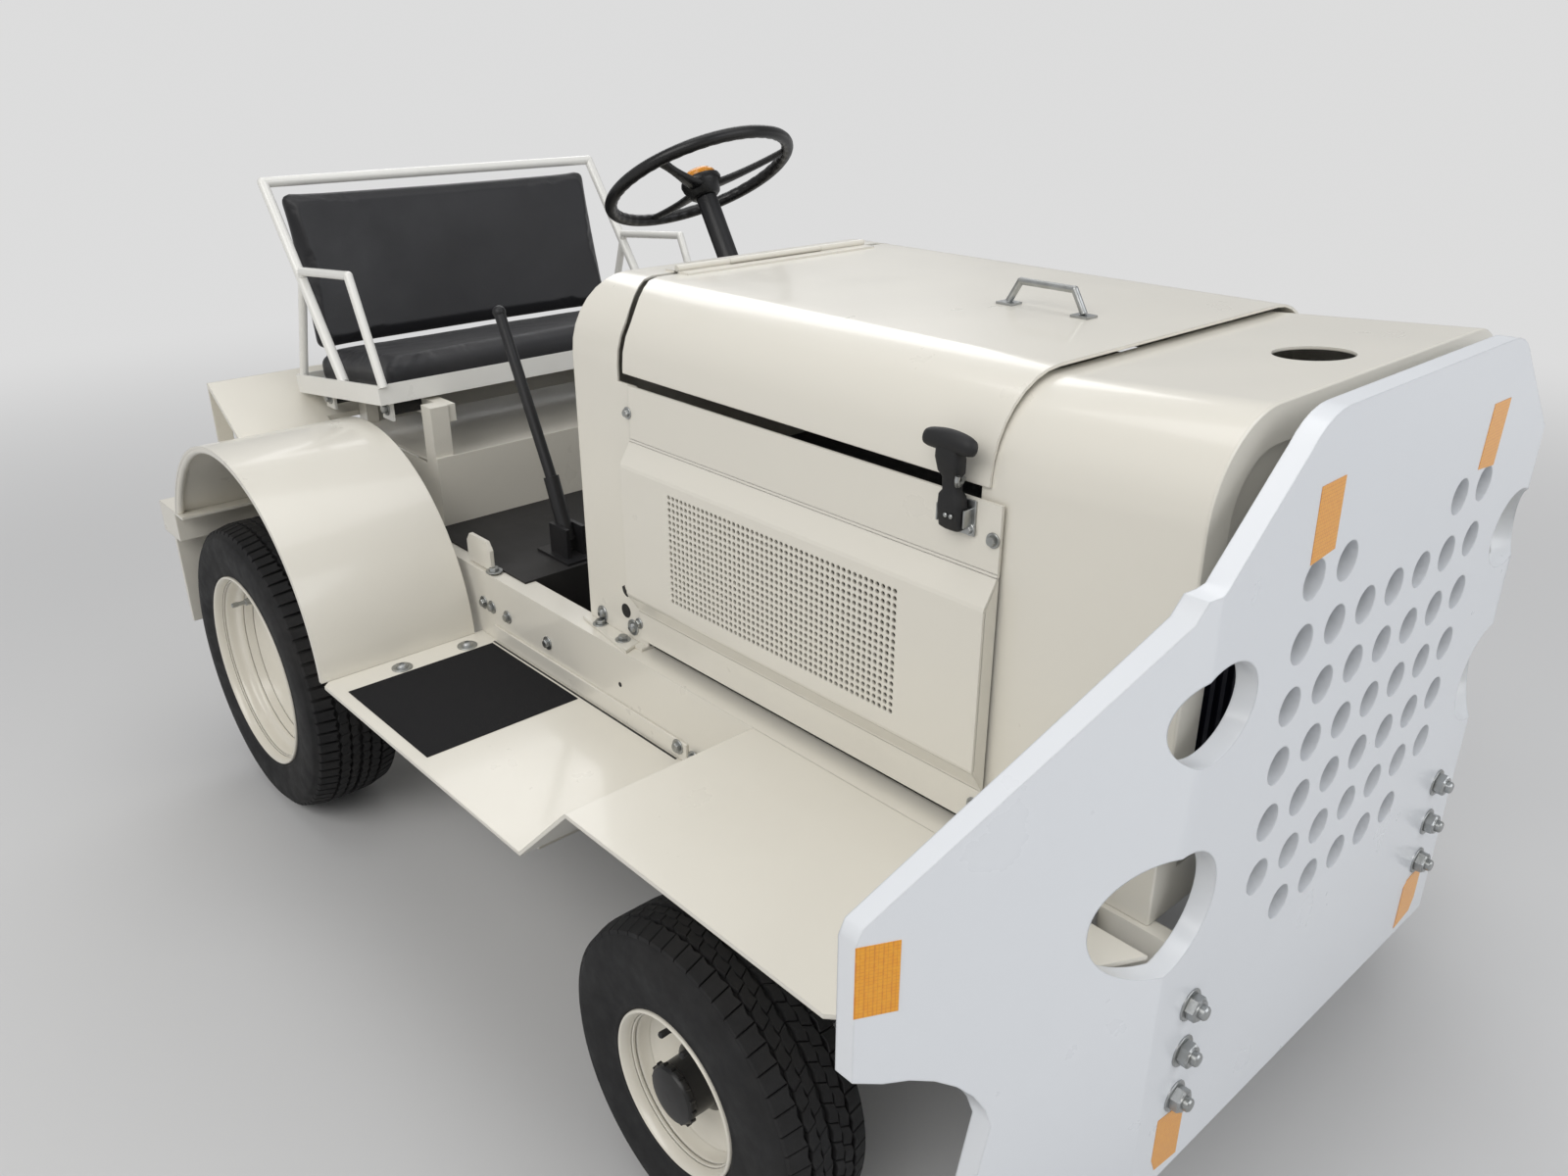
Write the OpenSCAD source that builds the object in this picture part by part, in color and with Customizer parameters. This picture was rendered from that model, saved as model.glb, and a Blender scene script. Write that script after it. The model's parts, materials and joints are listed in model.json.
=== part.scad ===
/* [Overall] */
// Width over the fenders and the front plate
overall_w = 1472; // [1300:1:1640]
// Length from the front plate to the end of the tow hitch
overall_l = 2410; // [2300:1:2600]
// Height of the top of the frame rails, which is also the height of the front fenders
deck_z = 610; // [590:1:640]

/* [Wheels] */
// Radius of a rear tyre
rear_tyre_r = 315; // [300:1:325]
// Width of a rear tyre
rear_tyre_w = 190; // [170:1:200]
// Radius of a rear rim flange
rear_rim_r = 208; // [190:1:215]
// Radius of a front tyre
front_tyre_r = 242; // [230:1:248]
// Width of a front tyre
front_tyre_w = 150; // [135:1:155]
// Radius of a front rim flange
front_rim_r = 146; // [135:1:152]
// Largest steering angle of a front wheel, in degrees
steer_max = 30; // [20:1:32]

/* [Frame] */
// Height of a frame rail
rail_h = 150; // [130:1:170]
// Width of a running board beside the frame rail
step_w = 328; // [300:1:345]
// Wall of a frame rail
rail_t = 8; // [6:0.5:12]

/* [Front plate] */
// Thickness of the front plate
plate_t = 25; // [16:1:32]
// Height of the top edge of the front plate
plate_top_z = 1206; // [1190:1:1240]
// Height of the bottom edge of the front plate
plate_bottom_z = 250; // [230:1:270]
// How far back the outer edge of a wing is swept
wing_sweep = 160; // [120:1:190]
// Distance between neighbouring holes in the front plate
hole_pitch = 76; // [70:1:80]
// Diameter of the holes in the front plate
hole_d = 47; // [35:1:55]

/* [Hood] */
// Width over the hood
hood_w = 740; // [720:1:760]
// Height of the top of the hood
hood_top_z = 1196; // [1170:1:1215]
// Radius of the hood's long top corners
hood_r = 115; // [90:1:130]
// Thickness of the hood, nose and cowl sheet
sheet_t = 4; // [3:0.5:6]
// Width of the ventilation gap between the hood lid and a side panel
vent_gap = 15; // [10:1:22]
// How far the hood lid opens, in degrees
hood_open = 60; // [30:1:70]

/* [Seat] */
// Width over the seat frame tubes
seat_w = 848; // [780:1:860]
// Height of the front edge of the seat frame
seat_z = 911; // [900:1:930]
// Radius of the seat frame tubes
seat_tube_r = 11; // [9:0.5:13]
// Thickness of the seat cushion
cushion_h = 62; // [50:1:80]

/* [Steering] */
// Radius of the steering wheel
steer_wheel_r = 202; // [180:1:210]
// Slope of the steering wheel from level, in degrees
steer_slope = 30.6; // [25:0.1:35]

/* [Hidden] */
$fn = 48;

// Colours
paint = "ivory";
plate_paint = "white";
black = [0.09, 0.09, 0.1];
zinc = [0.72, 0.72, 0.7];
amber = [0.95, 0.6, 0.1];
tyre_black = [0.06, 0.06, 0.065];

// Play between pieces that only touch, and between pieces that move past each other
touch = 0.2;
clear = 6;

// Half widths and the two ends
half_w = overall_w / 2;
front_x = overall_l / 2;
rear_x = -overall_l / 2;
frame_y = half_w - step_w;
frame_w = 2 * frame_y;
hood_y = hood_w / 2;
seat_y = seat_w / 2 - seat_tube_r;

// Axles: each lies a little more than its tyre's radius from its end of the vehicle
hitch_out = 92;
beam_x = rear_x + hitch_out;
rear_axle_x = beam_x + rear_tyre_r + 41;
front_axle_x = front_x - front_tyre_r - 270;
wheel_out_y = half_w - 16;
rear_wheel_y = wheel_out_y - rear_tyre_w / 2;
front_wheel_y = wheel_out_y - front_tyre_w / 2;
kingpin_y = front_wheel_y - 118;
arm_x = front_axle_x - 128;
arm_y = kingpin_y;

// Hood lines from the rear cowl to the nose
cowl_x = front_x - 1171;
fire_x = cowl_x + 25;
hinge_x = cowl_x + 74;
hinge_z = hood_top_z + 7;
joint_x = cowl_x + 850;
nose_x = front_x - plate_t - 58;
lap = sheet_t + clear;
lid_edge_z = hood_top_z - 125;
panel_top_z = lid_edge_z - vent_gap;
panel_y = hood_y + 12;
kink_z = panel_top_z - 85;

// Step, ramp and front fender along one side
step_z = deck_z - 134;
step_t = 6;
step_front_x = front_axle_x - 317;
ramp_top_x = step_front_x + 136;
step_in_y = frame_y + touch;

// Rear fender arch
arch_x = rear_axle_x + 87;
arch_z = deck_z - 153;
arch_r = 370;
arch_in_y = frame_y + 19;
step_rear_x = arch_x + 366;

// Rear tray, seat box and floor
beam_h = 69;
beam_d = 100;
bulkhead_x = rear_axle_x + 224;
pit_x = cowl_x - 203;
pit_z = 470;
tray_y = 596;
tray_z = deck_z + 130;
tray_top_z = deck_z + 243;

// Seat frame
seat_front_x = rear_axle_x + 154;
seat_rear_x = rear_axle_x - 269;
seat_rise = 7.4;
seat_bar = 40;

// Steering wheel centre
wheel_c = [cowl_x - 367, 190, 1283];

// Extrudes a side view drawn as x and z, from y0 over a width w
module along_y(y0, w) {
    translate([0, y0 + w, 0]) rotate([90, 0, 0]) linear_extrude(w) children();
}

// Extrudes a front view drawn as y and z, from x0 over a length l
module along_x(x0, l) {
    translate([x0, 0, 0]) rotate([90, 0, 90]) linear_extrude(l) children();
}

// A round bar from point a to point b
module rod(a, b, r) {
    d = b - a;
    len = norm(d);
    translate(a)
        rotate([0, acos(d[2] / len), atan2(d[1], d[0])])
            cylinder(h = len, r = r);
}

// A round bar through a list of points, with a ball at each bend
module bent_rod(pts, r) {
    for (i = [0 : len(pts) - 2]) rod(pts[i], pts[i + 1], r);
    for (i = [1 : len(pts) - 2]) translate(pts[i]) sphere(r + 0.15);
}

// A copy on each side of the vehicle
module both_sides() {
    children();
    mirror([0, 1, 0]) children();
}

// Points of an arc about a centre, between two angles
function arc(c, r, a0, a1, n = 8) = [for (i = [0 : n]) c + r * [cos(a0 + (a1 - a0) * i / n), sin(a0 + (a1 - a0) * i / n)]];

// Front view of the hood: a box with its two top corners round
module hood_section(y, top, bottom, r) {
    polygon(concat([[-y, bottom], [y, bottom]],
        arc([y - r, top - r], r, 0, 90),
        arc([-y + r, top - r], r, 90, 180)));
}

// Frame rails, cross members and the front horns
module rail() {
    difference() {
        translate([beam_x + beam_d, frame_y - 50, deck_z - rail_h])
            cube([front_x - plate_t - 90 - beam_x - beam_d, 50, rail_h]);
        translate([beam_x + beam_d - 1, frame_y - 51, deck_z - rail_h + rail_t])
            cube([overall_l, 51 - rail_t, rail_h - 2 * rail_t]);
    }
}

module frame() {
    cross_x = [beam_x + beam_d + 2, bulkhead_x - 60, pit_x - 64, front_axle_x + 113, radiator_x - 10];
    color(paint) union() {
        both_sides() rail();
        for (x = cross_x)
            translate([x, -frame_y + rail_t, deck_z - rail_h]) cube([60, frame_w - 2 * rail_t, 60]);
    }
}

// Outriggers that carry the running boards
module outriggers() {
    color(paint) both_sides() for (x = [step_front_x - 610, step_front_x - 350, step_front_x - 90])
        translate([x, frame_y + touch, step_z - step_t - 46]) cube([40, step_w - 60, 46 - touch]);
}

// Front plate: half outline seen from the front, as y and z
bend_y = frame_y + 11;
wing_top_z = plate_top_z - 150;
function half_outline() = concat(
    [[0, plate_top_z]],
    arc([bend_y - 200, plate_top_z - 90], 90, 90, 40, 5),
    arc([bend_y + 22, wing_top_z + 48], 50, 220, 260, 3),
    [[bend_y + 24, wing_top_z - 24], [bend_y + 80, wing_top_z - 80], [half_w - 6, plate_top_z - 460],
     [half_w, plate_top_z - 480], [half_w, deck_z - 62]],
    arc([half_w - 30, deck_z - 190], 118, 90, 170, 6),
    [[half_w - 120, plate_bottom_z]]);
function other_half(pts) = [for (i = [len(pts) - 1 : -1 : 1]) [-pts[i][0], pts[i][1]]];

module plate_plan() {
    slope = wing_sweep / (half_w - bend_y);
    reach = half_w - bend_y + 60;
    polygon([[front_x, -bend_y], [front_x, bend_y], [front_x - slope * reach, bend_y + reach],
        [front_x - slope * reach - plate_t, bend_y + reach], [front_x - plate_t, bend_y - 6],
        [front_x - plate_t, -bend_y + 6], [front_x - slope * reach - plate_t, -bend_y - reach],
        [front_x - slope * reach, -bend_y - reach]]);
}

// Hole grid: each row is counted down from the top, with its first and last columns
hole_rows = [[0, -3, -2], [0, 2, 3], [1, -3, 3], [2, -3, 3], [3, -3, 3], [4, -3, 3], [5, -3, 3], [6, -2, 2]];
grid_z = plate_top_z - 414;

module front_plate() {
    color(plate_paint) difference() {
        intersection() {
            along_x(front_x - wing_sweep - 120, wing_sweep + 130)
                polygon(concat(half_outline(), other_half(half_outline())));
            translate([0, 0, plate_bottom_z - 10]) linear_extrude(plate_top_z - plate_bottom_z + 20) plate_plan();
        }
        for (row = hole_rows)
            for (col = [row[1] : row[2]])
                translate([front_x - 60, col * hole_pitch, grid_z + (3 - row[0]) * hole_pitch])
                    rotate([0, 90, 0]) cylinder(h = 80, d = hole_d);
        both_sides() {
            corner_hole(bend_y - 34, grid_z + 126, 70, 56);
            corner_hole(bend_y + 2, grid_z - 110, 88, 78);
        }
    }
}

// Rounded hole across a bend of the front plate: a circle drawn wider than high
module corner_hole(y, z, ry, rz) {
    translate([front_x - 120, y, z]) scale([1, ry / rz, 1]) rotate([0, 90, 0]) cylinder(h = 160, r = rz);
}

// Brackets that carry the front plate on the rail ends
module plate_brackets() {
    x0 = front_x - plate_t - 90;
    tail_x = front_axle_x + spring_reach + 22;
    color(paint) both_sides() {
        translate([x0 + touch, frame_y - 58, plate_bottom_z + 120])
            cube([90 - 2 * touch, 24, deck_z - plate_bottom_z - 120]);
        translate([tail_x, frame_y - 58, deck_z - rail_h - 60]) cube([x0 + 2 - tail_x, 24, 60 - touch]);
    }
}

// Nose cowl: a hollow cap that narrows to the front, open below, behind and at the radiator
module nose_form(inset, back_x, bottom_z) {
    hull() {
        along_x(back_x, 1) hood_section(hood_y - inset, hood_top_z - inset, bottom_z, hood_r);
        along_x(nose_x - 70 - inset, 1) hood_section(hood_y - 8 - inset, hood_top_z - inset, bottom_z, hood_r + 10);
        along_x(nose_x - 1 - inset + lap, 1)
            hood_section(hood_y - 54 - inset, hood_top_z - 14 - inset, bottom_z, hood_r + 10);
    }
}

module nose_cowl() {
    color(paint) union() {
        difference() {
            nose_form(lap, joint_x - 14, deck_z + touch);
            nose_form(lap + sheet_t, joint_x - 40, deck_z - 20);
            translate([nose_x - 80, -hood_y + 110, deck_z + 60]) cube([120, hood_w - 220, hood_top_z - deck_z - 150]);
            translate([nose_x - 62, 0, hood_top_z - 60]) cylinder(h = 90, r = 48);
        }
        both_sides()
            translate([joint_x - 10, hood_y - lap - 3, deck_z + touch]) cube([34, lap + 3, panel_top_z - deck_z - touch]);
    }
}

// Rear cowl: the fixed band behind the hood lid, with the firewall and the two side flanges
module rear_cowl() {
    flange_x = cowl_x + 168;
    color(paint) union() {
        difference() {
            along_x(cowl_x, hinge_x - 8 - cowl_x) hood_section(hood_y, hood_top_z, deck_z + touch, hood_r);
            along_x(cowl_x - 1, fire_x - cowl_x + 1)
                hood_section(hood_y - sheet_t, hood_top_z - sheet_t, deck_z - 9, hood_r - sheet_t);
            along_x(fire_x + sheet_t, 90) hood_section(hood_y - sheet_t, hood_top_z - sheet_t, deck_z - 9, hood_r - sheet_t);
        }
        both_sides() {
            translate([hinge_x - 20, hood_y - sheet_t, deck_z + touch])
                cube([flange_x - hinge_x + 20, sheet_t, panel_top_z - deck_z]);
            translate([cowl_x, hood_y - 12, deck_z + touch]) cube([flange_x - cowl_x, 26, 5]);
        }
        translate([hinge_x - 30, -212, hood_top_z - 1]) cube([23, 424, 4]);
        translate([hinge_x, 0, hinge_z]) rotate([90, 0, 0]) cylinder(h = 207, r = 5, center = true);
        translate([hinge_x - 18, -103, hinge_z - 5]) cube([17, 206, 4]);
    }
}

// Side panel: a bent sheet whose middle stands out, with a field of small holes
module side_panel() {
    y0 = hood_y + touch;
    out = 22;
    t = sheet_t;
    low_z = deck_z + 70;
    foot_z = deck_z + 16;
    color(paint) difference() {
        along_x(cowl_x + 152, 722) polygon([[y0, panel_top_z], [y0, kink_z], [y0 + out, kink_z - 36],
            [y0 + out, low_z + 34], [y0, low_z], [y0, foot_z], [y0 + t, foot_z], [y0 + t, low_z - 1],
            [y0 + out + t, low_z + 33], [y0 + out + t, kink_z - 37], [y0 + t, kink_z - 1], [y0 + t, panel_top_z]]);
        for (i = [0 : 11])
            for (j = [0 : 5])
                translate([cowl_x + 262 + i * 44, y0, low_z + 70 + j * 34])
                    rotate([-90, 0, 0]) cylinder(h = 60, r = 8);
    }
}

module side_panel_left() { side_panel(); }
module side_panel_right() { mirror([0, 1, 0]) side_panel(); }

// Running board, ramp and front fender of one side, bent from one plate
module step_fender() {
    wing_slope = wing_sweep / (half_w - bend_y);
    wing_gap_x = front_x - plate_t * 1.3 - touch;
    color(paint) intersection() {
        along_y(step_in_y, half_w - step_in_y)
            polygon([[step_rear_x, step_z], [step_front_x, step_z], [ramp_top_x, deck_z], [front_x, deck_z],
                [front_x, deck_z - step_t], [ramp_top_x + 2, deck_z - step_t],
                [step_front_x + 2, step_z - step_t], [step_rear_x, step_z - step_t]]);
        translate([0, 0, step_z - 50]) linear_extrude(deck_z - step_z + 100)
            polygon([[step_rear_x, 0], [wing_gap_x + wing_slope * bend_y, 0],
                [wing_gap_x - wing_slope * (half_w - bend_y - 20), half_w - 20],
                [wing_gap_x - wing_slope * (half_w - bend_y) - 12, half_w],
                [step_rear_x + 16, half_w], [step_rear_x, half_w - 16]]);
    }
}

module step_fender_left() { step_fender(); }
module step_fender_right() { mirror([0, 1, 0]) step_fender(); }

// Rear fender: a half-round arch with a thick rolled outer edge
module rear_fender() {
    front_a = asin((step_z + touch - arch_z) / arch_r);
    rear_a = 180 - asin((deck_z + touch - arch_z) / arch_r);
    edge_r = 8;
    color(paint) intersection() {
        translate([arch_x, 0, arch_z]) rotate([90, 0, 0]) union() {
            translate([0, 0, -half_w]) rotate([0, 0, front_a - 5]) rotate_extrude(angle = rear_a - front_a + 10, $fn = 96)
                translate([arch_r - 5, 0]) square([5, half_w - arch_in_y]);
            translate([0, 0, -half_w + edge_r]) rotate([0, 0, front_a - 5])
                rotate_extrude(angle = rear_a - front_a + 10, $fn = 96) translate([arch_r - edge_r, 0]) circle(edge_r);
        }
        union() {
            translate([arch_x, 0, step_z + touch]) cube([500, half_w + 1, 600]);
            translate([beam_x, 0, deck_z + touch]) cube([arch_x - beam_x + 1, half_w + 1, 600]);
        }
    }
}

module rear_fender_left() { rear_fender(); }
module rear_fender_right() { mirror([0, 1, 0]) rear_fender(); }

// Black floor plate with a lower foot well in front of it
module floor_pan() {
    color(black) union() {
        translate([bulkhead_x, -frame_y + 28, deck_z + touch]) cube([pit_x - bulkhead_x, frame_w - 56, 4]);
        translate([pit_x - 4, -350, pit_z]) cube([4, 700, deck_z - pit_z + 2]);
        translate([pit_x - 4, -frame_y + 12, deck_z - rail_h + rail_t + touch])
            cube([fire_x - pit_x + 4, frame_w - 24, pit_z - deck_z + rail_h - rail_t + 3]);
        translate([fire_x - 4, -350, pit_z]) cube([4, 700, deck_z - pit_z - touch]);
    }
}

// Box under the seat: front bulkhead, side walls, top rails and the four mount posts
front_mount = [rear_axle_x + 107, 346, 850];
rear_mount = [rear_axle_x - 182, 346, 815];
module seat_box() {
    color(paint) union() {
        translate([bulkhead_x - 5, -350, deck_z + touch]) cube([5, 700, tray_z + 20 - deck_z]);
        translate([bulkhead_x - 32, -350, deck_z + touch]) cube([32, 700, 5]);
        both_sides() {
            translate([bulkhead_x - 45, 310, deck_z + touch]) cube([40, 40, front_mount[2] - deck_z + 14]);
            translate([front_mount[0] - 20, front_mount[1] - 54, front_mount[2] - 22])
                cube([bulkhead_x - front_mount[0] + 10, 28 - touch, 36]);
            translate([rear_mount[0] - 20, rear_mount[1] - 54, deck_z + touch])
                cube([40, 28 - touch, rear_mount[2] - deck_z + 8]);
            translate([rear_mount[0] - 20, rear_mount[1] - 54, deck_z + touch]) cube([40, 68, 6]);
            translate([rear_mount[0], 345, deck_z + touch]) cube([bulkhead_x - rear_mount[0] - 4, 5, 130]);
        }
    }
}

// Tray behind the seat: two corner posts, a sloping back plate and a floor
module rear_tray() {
    low_x = beam_x + 187;
    color(paint) difference() {
        union() {
            both_sides()
                translate([beam_x + 20, tray_y - 34, deck_z + touch]) cube([6, 34, tray_top_z - deck_z - 3]);
            along_y(-tray_y, 2 * tray_y)
                polygon([[beam_x + 20, tray_top_z], [beam_x + 26, tray_top_z], [low_x, tray_z + 6],
                    [low_x, tray_z], [low_x - 8, tray_z], [beam_x + 20, tray_top_z - 8]]);
            translate([low_x - 2, -342, tray_z]) cube([bulkhead_x - 46 - low_x, 684, 5]);
        }
        both_sides() translate([rear_mount[0] - 21, rear_mount[1] - 55, deck_z]) cube([42, 102, 400]);
    }
}

// Rear beam with the ledges that the fenders stand on and the plate below it
module rear_beam() {
    color(paint) union() {
        translate([beam_x, -half_w, deck_z - beam_h]) cube([beam_d, overall_w, beam_h]);
        both_sides() translate([beam_x, frame_y + 1, deck_z - 6]) cube([150, half_w - frame_y - 1, 6]);
        translate([beam_x + 14, -half_w + 12, deck_z - 290]) cube([12, overall_w - 24, 290 - beam_h + 1]);
    }
}

// Tow hitch: a back plate and two ears with a bore for a drop pin
hitch_z = deck_z - 160;
hitch_bore_r = 16.5;
ear_r = 42;
ear_t = 18;
jaw = 44;
module hitch() {
    x0 = beam_x + 14 - touch;
    color(black) difference() {
        union() {
            translate([x0 - 20, -90, hitch_z - 66]) cube([20, 180, 132]);
            for (z = [-jaw / 2 - ear_t, jaw / 2]) translate([0, 0, hitch_z + z]) {
                translate([rear_x + ear_r, -ear_r, 0]) cube([x0 - 10 - rear_x - ear_r, 2 * ear_r, ear_t]);
                translate([rear_x + ear_r, 0, 0]) cylinder(h = ear_t, r = ear_r);
            }
        }
        translate([rear_x + ear_r, 0, hitch_z - 60]) cylinder(h = 120, r = hitch_bore_r);
    }
}

// Engine block with its four lugs on the rails
engine_x = cowl_x + 162;
module engine() {
    color(black) union() {
        translate([engine_x, -190, 325]) cube([540, 380, 420]);
        translate([engine_x + 20, -120, 740]) cube([480, 240, 180]);
        for (x = [engine_x + 80, engine_x + 410])
            translate([x, -frame_y + 14, deck_z - rail_h + rail_t + touch]) cube([60, frame_w - 28, 36]);
    }
}

// Radiator with its cooling fins
radiator_x = front_x - 224;
module radiator() {
    color(black) union() {
        translate([radiator_x, -270, deck_z - rail_h + 60 + touch]) cube([44, 540, 520]);
        for (i = [0 : 16]) translate([radiator_x + 43, -250 + i * 30, deck_z - rail_h + 90]) cube([10, 12, 460]);
    }
}

// Gearbox and propeller shaft
module driveline() {
    color(black) union() {
        translate([engine_x - 280, -120, 300]) cube([280 - touch, 240, 150]);
        rod([engine_x - 270, 0, 372], [rear_axle_x + 134, 0, rear_tyre_r + 10], 32);
    }
}

// Rear axle with its differential housing and the stub shafts
rear_stub_r = 30;
rear_disc_y = rear_wheel_y - 42;
module rear_axle() {
    color(black) translate([rear_axle_x, 0, rear_tyre_r]) union() {
        rotate([90, 0, 0]) cylinder(h = 2 * (rear_disc_y - 44), r = 45, center = true);
        rotate([90, 0, 0]) cylinder(h = 2 * (rear_disc_y + 40), r = rear_stub_r, center = true);
        sphere(106);
        rotate([0, 90, 0]) cylinder(h = 130, r = 50);
    }
}

// Front axle beam with a fork at each end for the kingpins
fork_h = 62;
module front_axle() {
    color(black) difference() {
        translate([front_axle_x, 0, front_tyre_r]) union() {
            translate([-30, -kingpin_y + 84, -30]) cube([60, 2 * kingpin_y - 168, 60]);
            both_sides() {
                translate([-16, kingpin_y - 85, -fork_h]) cube([32, 31, 2 * fork_h]);
                for (z = [-fork_h, fork_h - 20]) {
                    translate([-30, kingpin_y - 85, z]) cube([60, 85, 20]);
                    translate([0, kingpin_y, z]) cylinder(h = 20, r = 30);
                }
            }
        }
        both_sides() translate([front_axle_x, kingpin_y, 0]) cylinder(h = 600, r = 12.05);
    }
}

// Leaf springs of both axles, with their hangers under the rails
spring_y = frame_y - 25;
spring_reach = 240;
module spring(x, seat_z0, reach) {
    top = deck_z - rail_h - touch;
    translate([x, spring_y, 0]) union() {
        for (i = [0 : 2])
            translate([-reach + i * 60, -25, seat_z0 + i * 9]) cube([2 * reach - 120 * i, 50, 9.1]);
        for (s = [-1, 1])
            translate([s * (reach - 14) - 14, -25, seat_z0]) cube([28, 50, top - seat_z0]);
        translate([-34, -32, seat_z0 + 20]) cube([68, 64, 22]);
    }
}

module leaf_springs() {
    color(black) both_sides() {
        spring(front_axle_x, front_tyre_r + 30 + touch, spring_reach);
        spring(rear_axle_x, rear_tyre_r + 45 + touch, spring_reach);
    }
}

// Steering column from the firewall up to the wheel, with its bracket to the cowl
col_dir = [sin(steer_slope), 0, -cos(steer_slope)];
shaft_r = 10;
module steering_column() {
    foot = wheel_c + col_dir * ((fire_x - 60 - wheel_c[0]) / col_dir[0]);
    brace_z = 900;
    brace_x = wheel_c[0] + (wheel_c[2] - brace_z) * tan(steer_slope);
    color(black) union() {
        rod(wheel_c + col_dir * 41, foot, 21);
        rod(wheel_c + col_dir * 10, foot, shaft_r);
        translate([fire_x - 90, wheel_c[1] - 40, deck_z + 2 * touch]) cube([90 - touch, 80, foot[2] - deck_z + 30]);
        translate([brace_x - 15, wheel_c[1] - 30, brace_z - 8]) cube([fire_x - brace_x + 15 - touch, 60, 8]);
    }
}

// Two pedals that hang in the foot well
module pedals() {
    color(black) for (y = [86, 280])
        union() {
            rod([fire_x - 8, y, 640], [fire_x - 141, y, 572], 7);
            translate([fire_x - 163, y - 27, 540]) rotate([0, -55, 0]) cube([80, 54, 8]);
            translate([fire_x - 16, y - 14, 620]) cube([16 - touch, 28, 50]);
        }
}

// Long parking brake lever on its floor bracket
module brake_lever() {
    base = [pit_x - 60, -244, deck_z + 4 + 2 * touch];
    color(black) union() {
        translate(base + [-60, -35, 0]) cube([110, 70, 5]);
        for (y = [-22, 14]) translate(base + [-30, y, 4]) cube([60, 8, 60]);
        rod(base + [0, 0, 30], base + [-45, 0, 150], 15);
        rod(base + [-40, 0, 140], base + [-186, 0, 446], 11);
        translate(base + [-186, 0, 446]) sphere(13);
    }
}

// Rubber tee-handle latch on a side panel, in front of the hood lid's edge
module latch() {
    x = cowl_x + 812;
    y = hood_y + sheet_t + 2 * touch;
    color(black) union() {
        translate([x - 16, y, panel_top_z - 62]) cube([34, 5, 44]);
        translate([x - 10, y, panel_top_z - 52]) cube([22, 30, 22]);
        translate([x - 9, y + 14, panel_top_z - 50]) cube([18, 16, 104]);
        hull() for (s = [-1, 1]) translate([x + s * 26, y + 24, panel_top_z + 60]) sphere(11, $fn = 20);
    }
}

module latch_left() { latch(); }
module latch_right() { mirror([0, 1, 0]) latch(); }

// Seat frame: a level tilted to the back, its side tubes, armrests and back tubes
function seat_pt(x, up) = [x, 0, seat_z + (x - seat_front_x) * tan(seat_rise) + up];

module seat_frame() {
    depth = (seat_front_x - seat_rear_x) / cos(seat_rise);
    arm_root = [seat_rear_x + 100, seat_y, seat_z + 182];
    low_rear = seat_pt(seat_rear_x + 6, -seat_bar / 2);
    color(paint) union() {
        translate([seat_front_x, 0, seat_z]) rotate([0, -seat_rise, 0]) translate([0, 0, -seat_bar]) difference() {
            translate([-depth, -seat_w / 2, 0]) cube([depth, seat_w, seat_bar]);
            translate([-depth + 5, -seat_w / 2 + 5, 5]) cube([depth - 10, seat_w - 10, seat_bar]);
            translate([-depth + 40, -seat_w / 2 + 40, -1]) cube([depth - 80, seat_w - 80, 10]);
        }
        both_sides() {
            bent_rod([[seat_rear_x + 234, seat_y, seat_z - 30], [seat_rear_x - 40, seat_y, seat_z + 350],
                [seat_rear_x - 40, 0, seat_z + 350]], seat_tube_r);
            bent_rod([[low_rear[0] + 6, seat_y, low_rear[2]], arm_root, arm_root + [232, 0, 20],
                [seat_front_x + 2, seat_y, seat_z - 6]], seat_tube_r - 2);
            for (m = [front_mount, rear_mount])
                translate([m[0] - 22, m[1] + 38 + touch, m[2] - 24])
                    cube([44, 6, seat_pt(m[0], -seat_bar + 1)[2] - m[2] + 24]);
        }
    }
}

// Rubber mounts under the seat frame
module seat_mounts() {
    color(black) both_sides()
        for (m = [front_mount, rear_mount])
            translate([m[0], m[1] + 38, m[2]]) rotate([90, 0, 0]) cylinder(h = 64 - touch, r = 17);
}

// A plain cushion: a slab with round corners in plan
module cushion_block(l, w, h, r) {
    linear_extrude(h) union() {
        translate([r, -w / 2]) square([l - 2 * r, w]);
        translate([0, -w / 2 + r]) square([l, w - 2 * r]);
        for (x = [r, l - r]) for (y = [-w / 2 + r, w / 2 - r]) translate([x, y]) circle(r);
    }
}

module seat_cushion() {
    color(black) translate(seat_pt(seat_front_x - 8, -seat_bar + 5 + touch)) rotate([0, -seat_rise, 0])
        translate([-400, 0, 0]) cushion_block(395, seat_w - 52, cushion_h + 18, 24);
}

module seat_back() {
    lean = 11;
    color(black) translate([seat_rear_x + 18, 0, seat_z + 64]) rotate([0, -lean, 0])
        rotate([0, -90, 0]) translate([0, 0, -56]) cushion_block(268, seat_w - 4 * seat_tube_r - 3 * touch, 56, 24);
}

// Hood lid: a sheet shell between the rear cowl and the nose
module hood_lid() {
    color(paint) difference() {
        union() {
            along_x(hinge_x + 6, joint_x - hinge_x - 6) hood_section(hood_y, hood_top_z, lid_edge_z, hood_r);
            translate([hinge_x + 2, -212, hood_top_z - 1]) cube([27, 424, 4]);
            for (y = [-212, 104]) translate([hinge_x, y, hinge_z]) rotate([-90, 0, 0]) cylinder(h = 108, r = 5);
        }
        along_x(hinge_x + 5, joint_x - hinge_x)
            hood_section(hood_y - sheet_t, hood_top_z - sheet_t, lid_edge_z - 9, hood_r - sheet_t);
        translate([hinge_x - 10, -104, hood_top_z]) cube([18, 208, 20]);
    }
}

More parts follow.
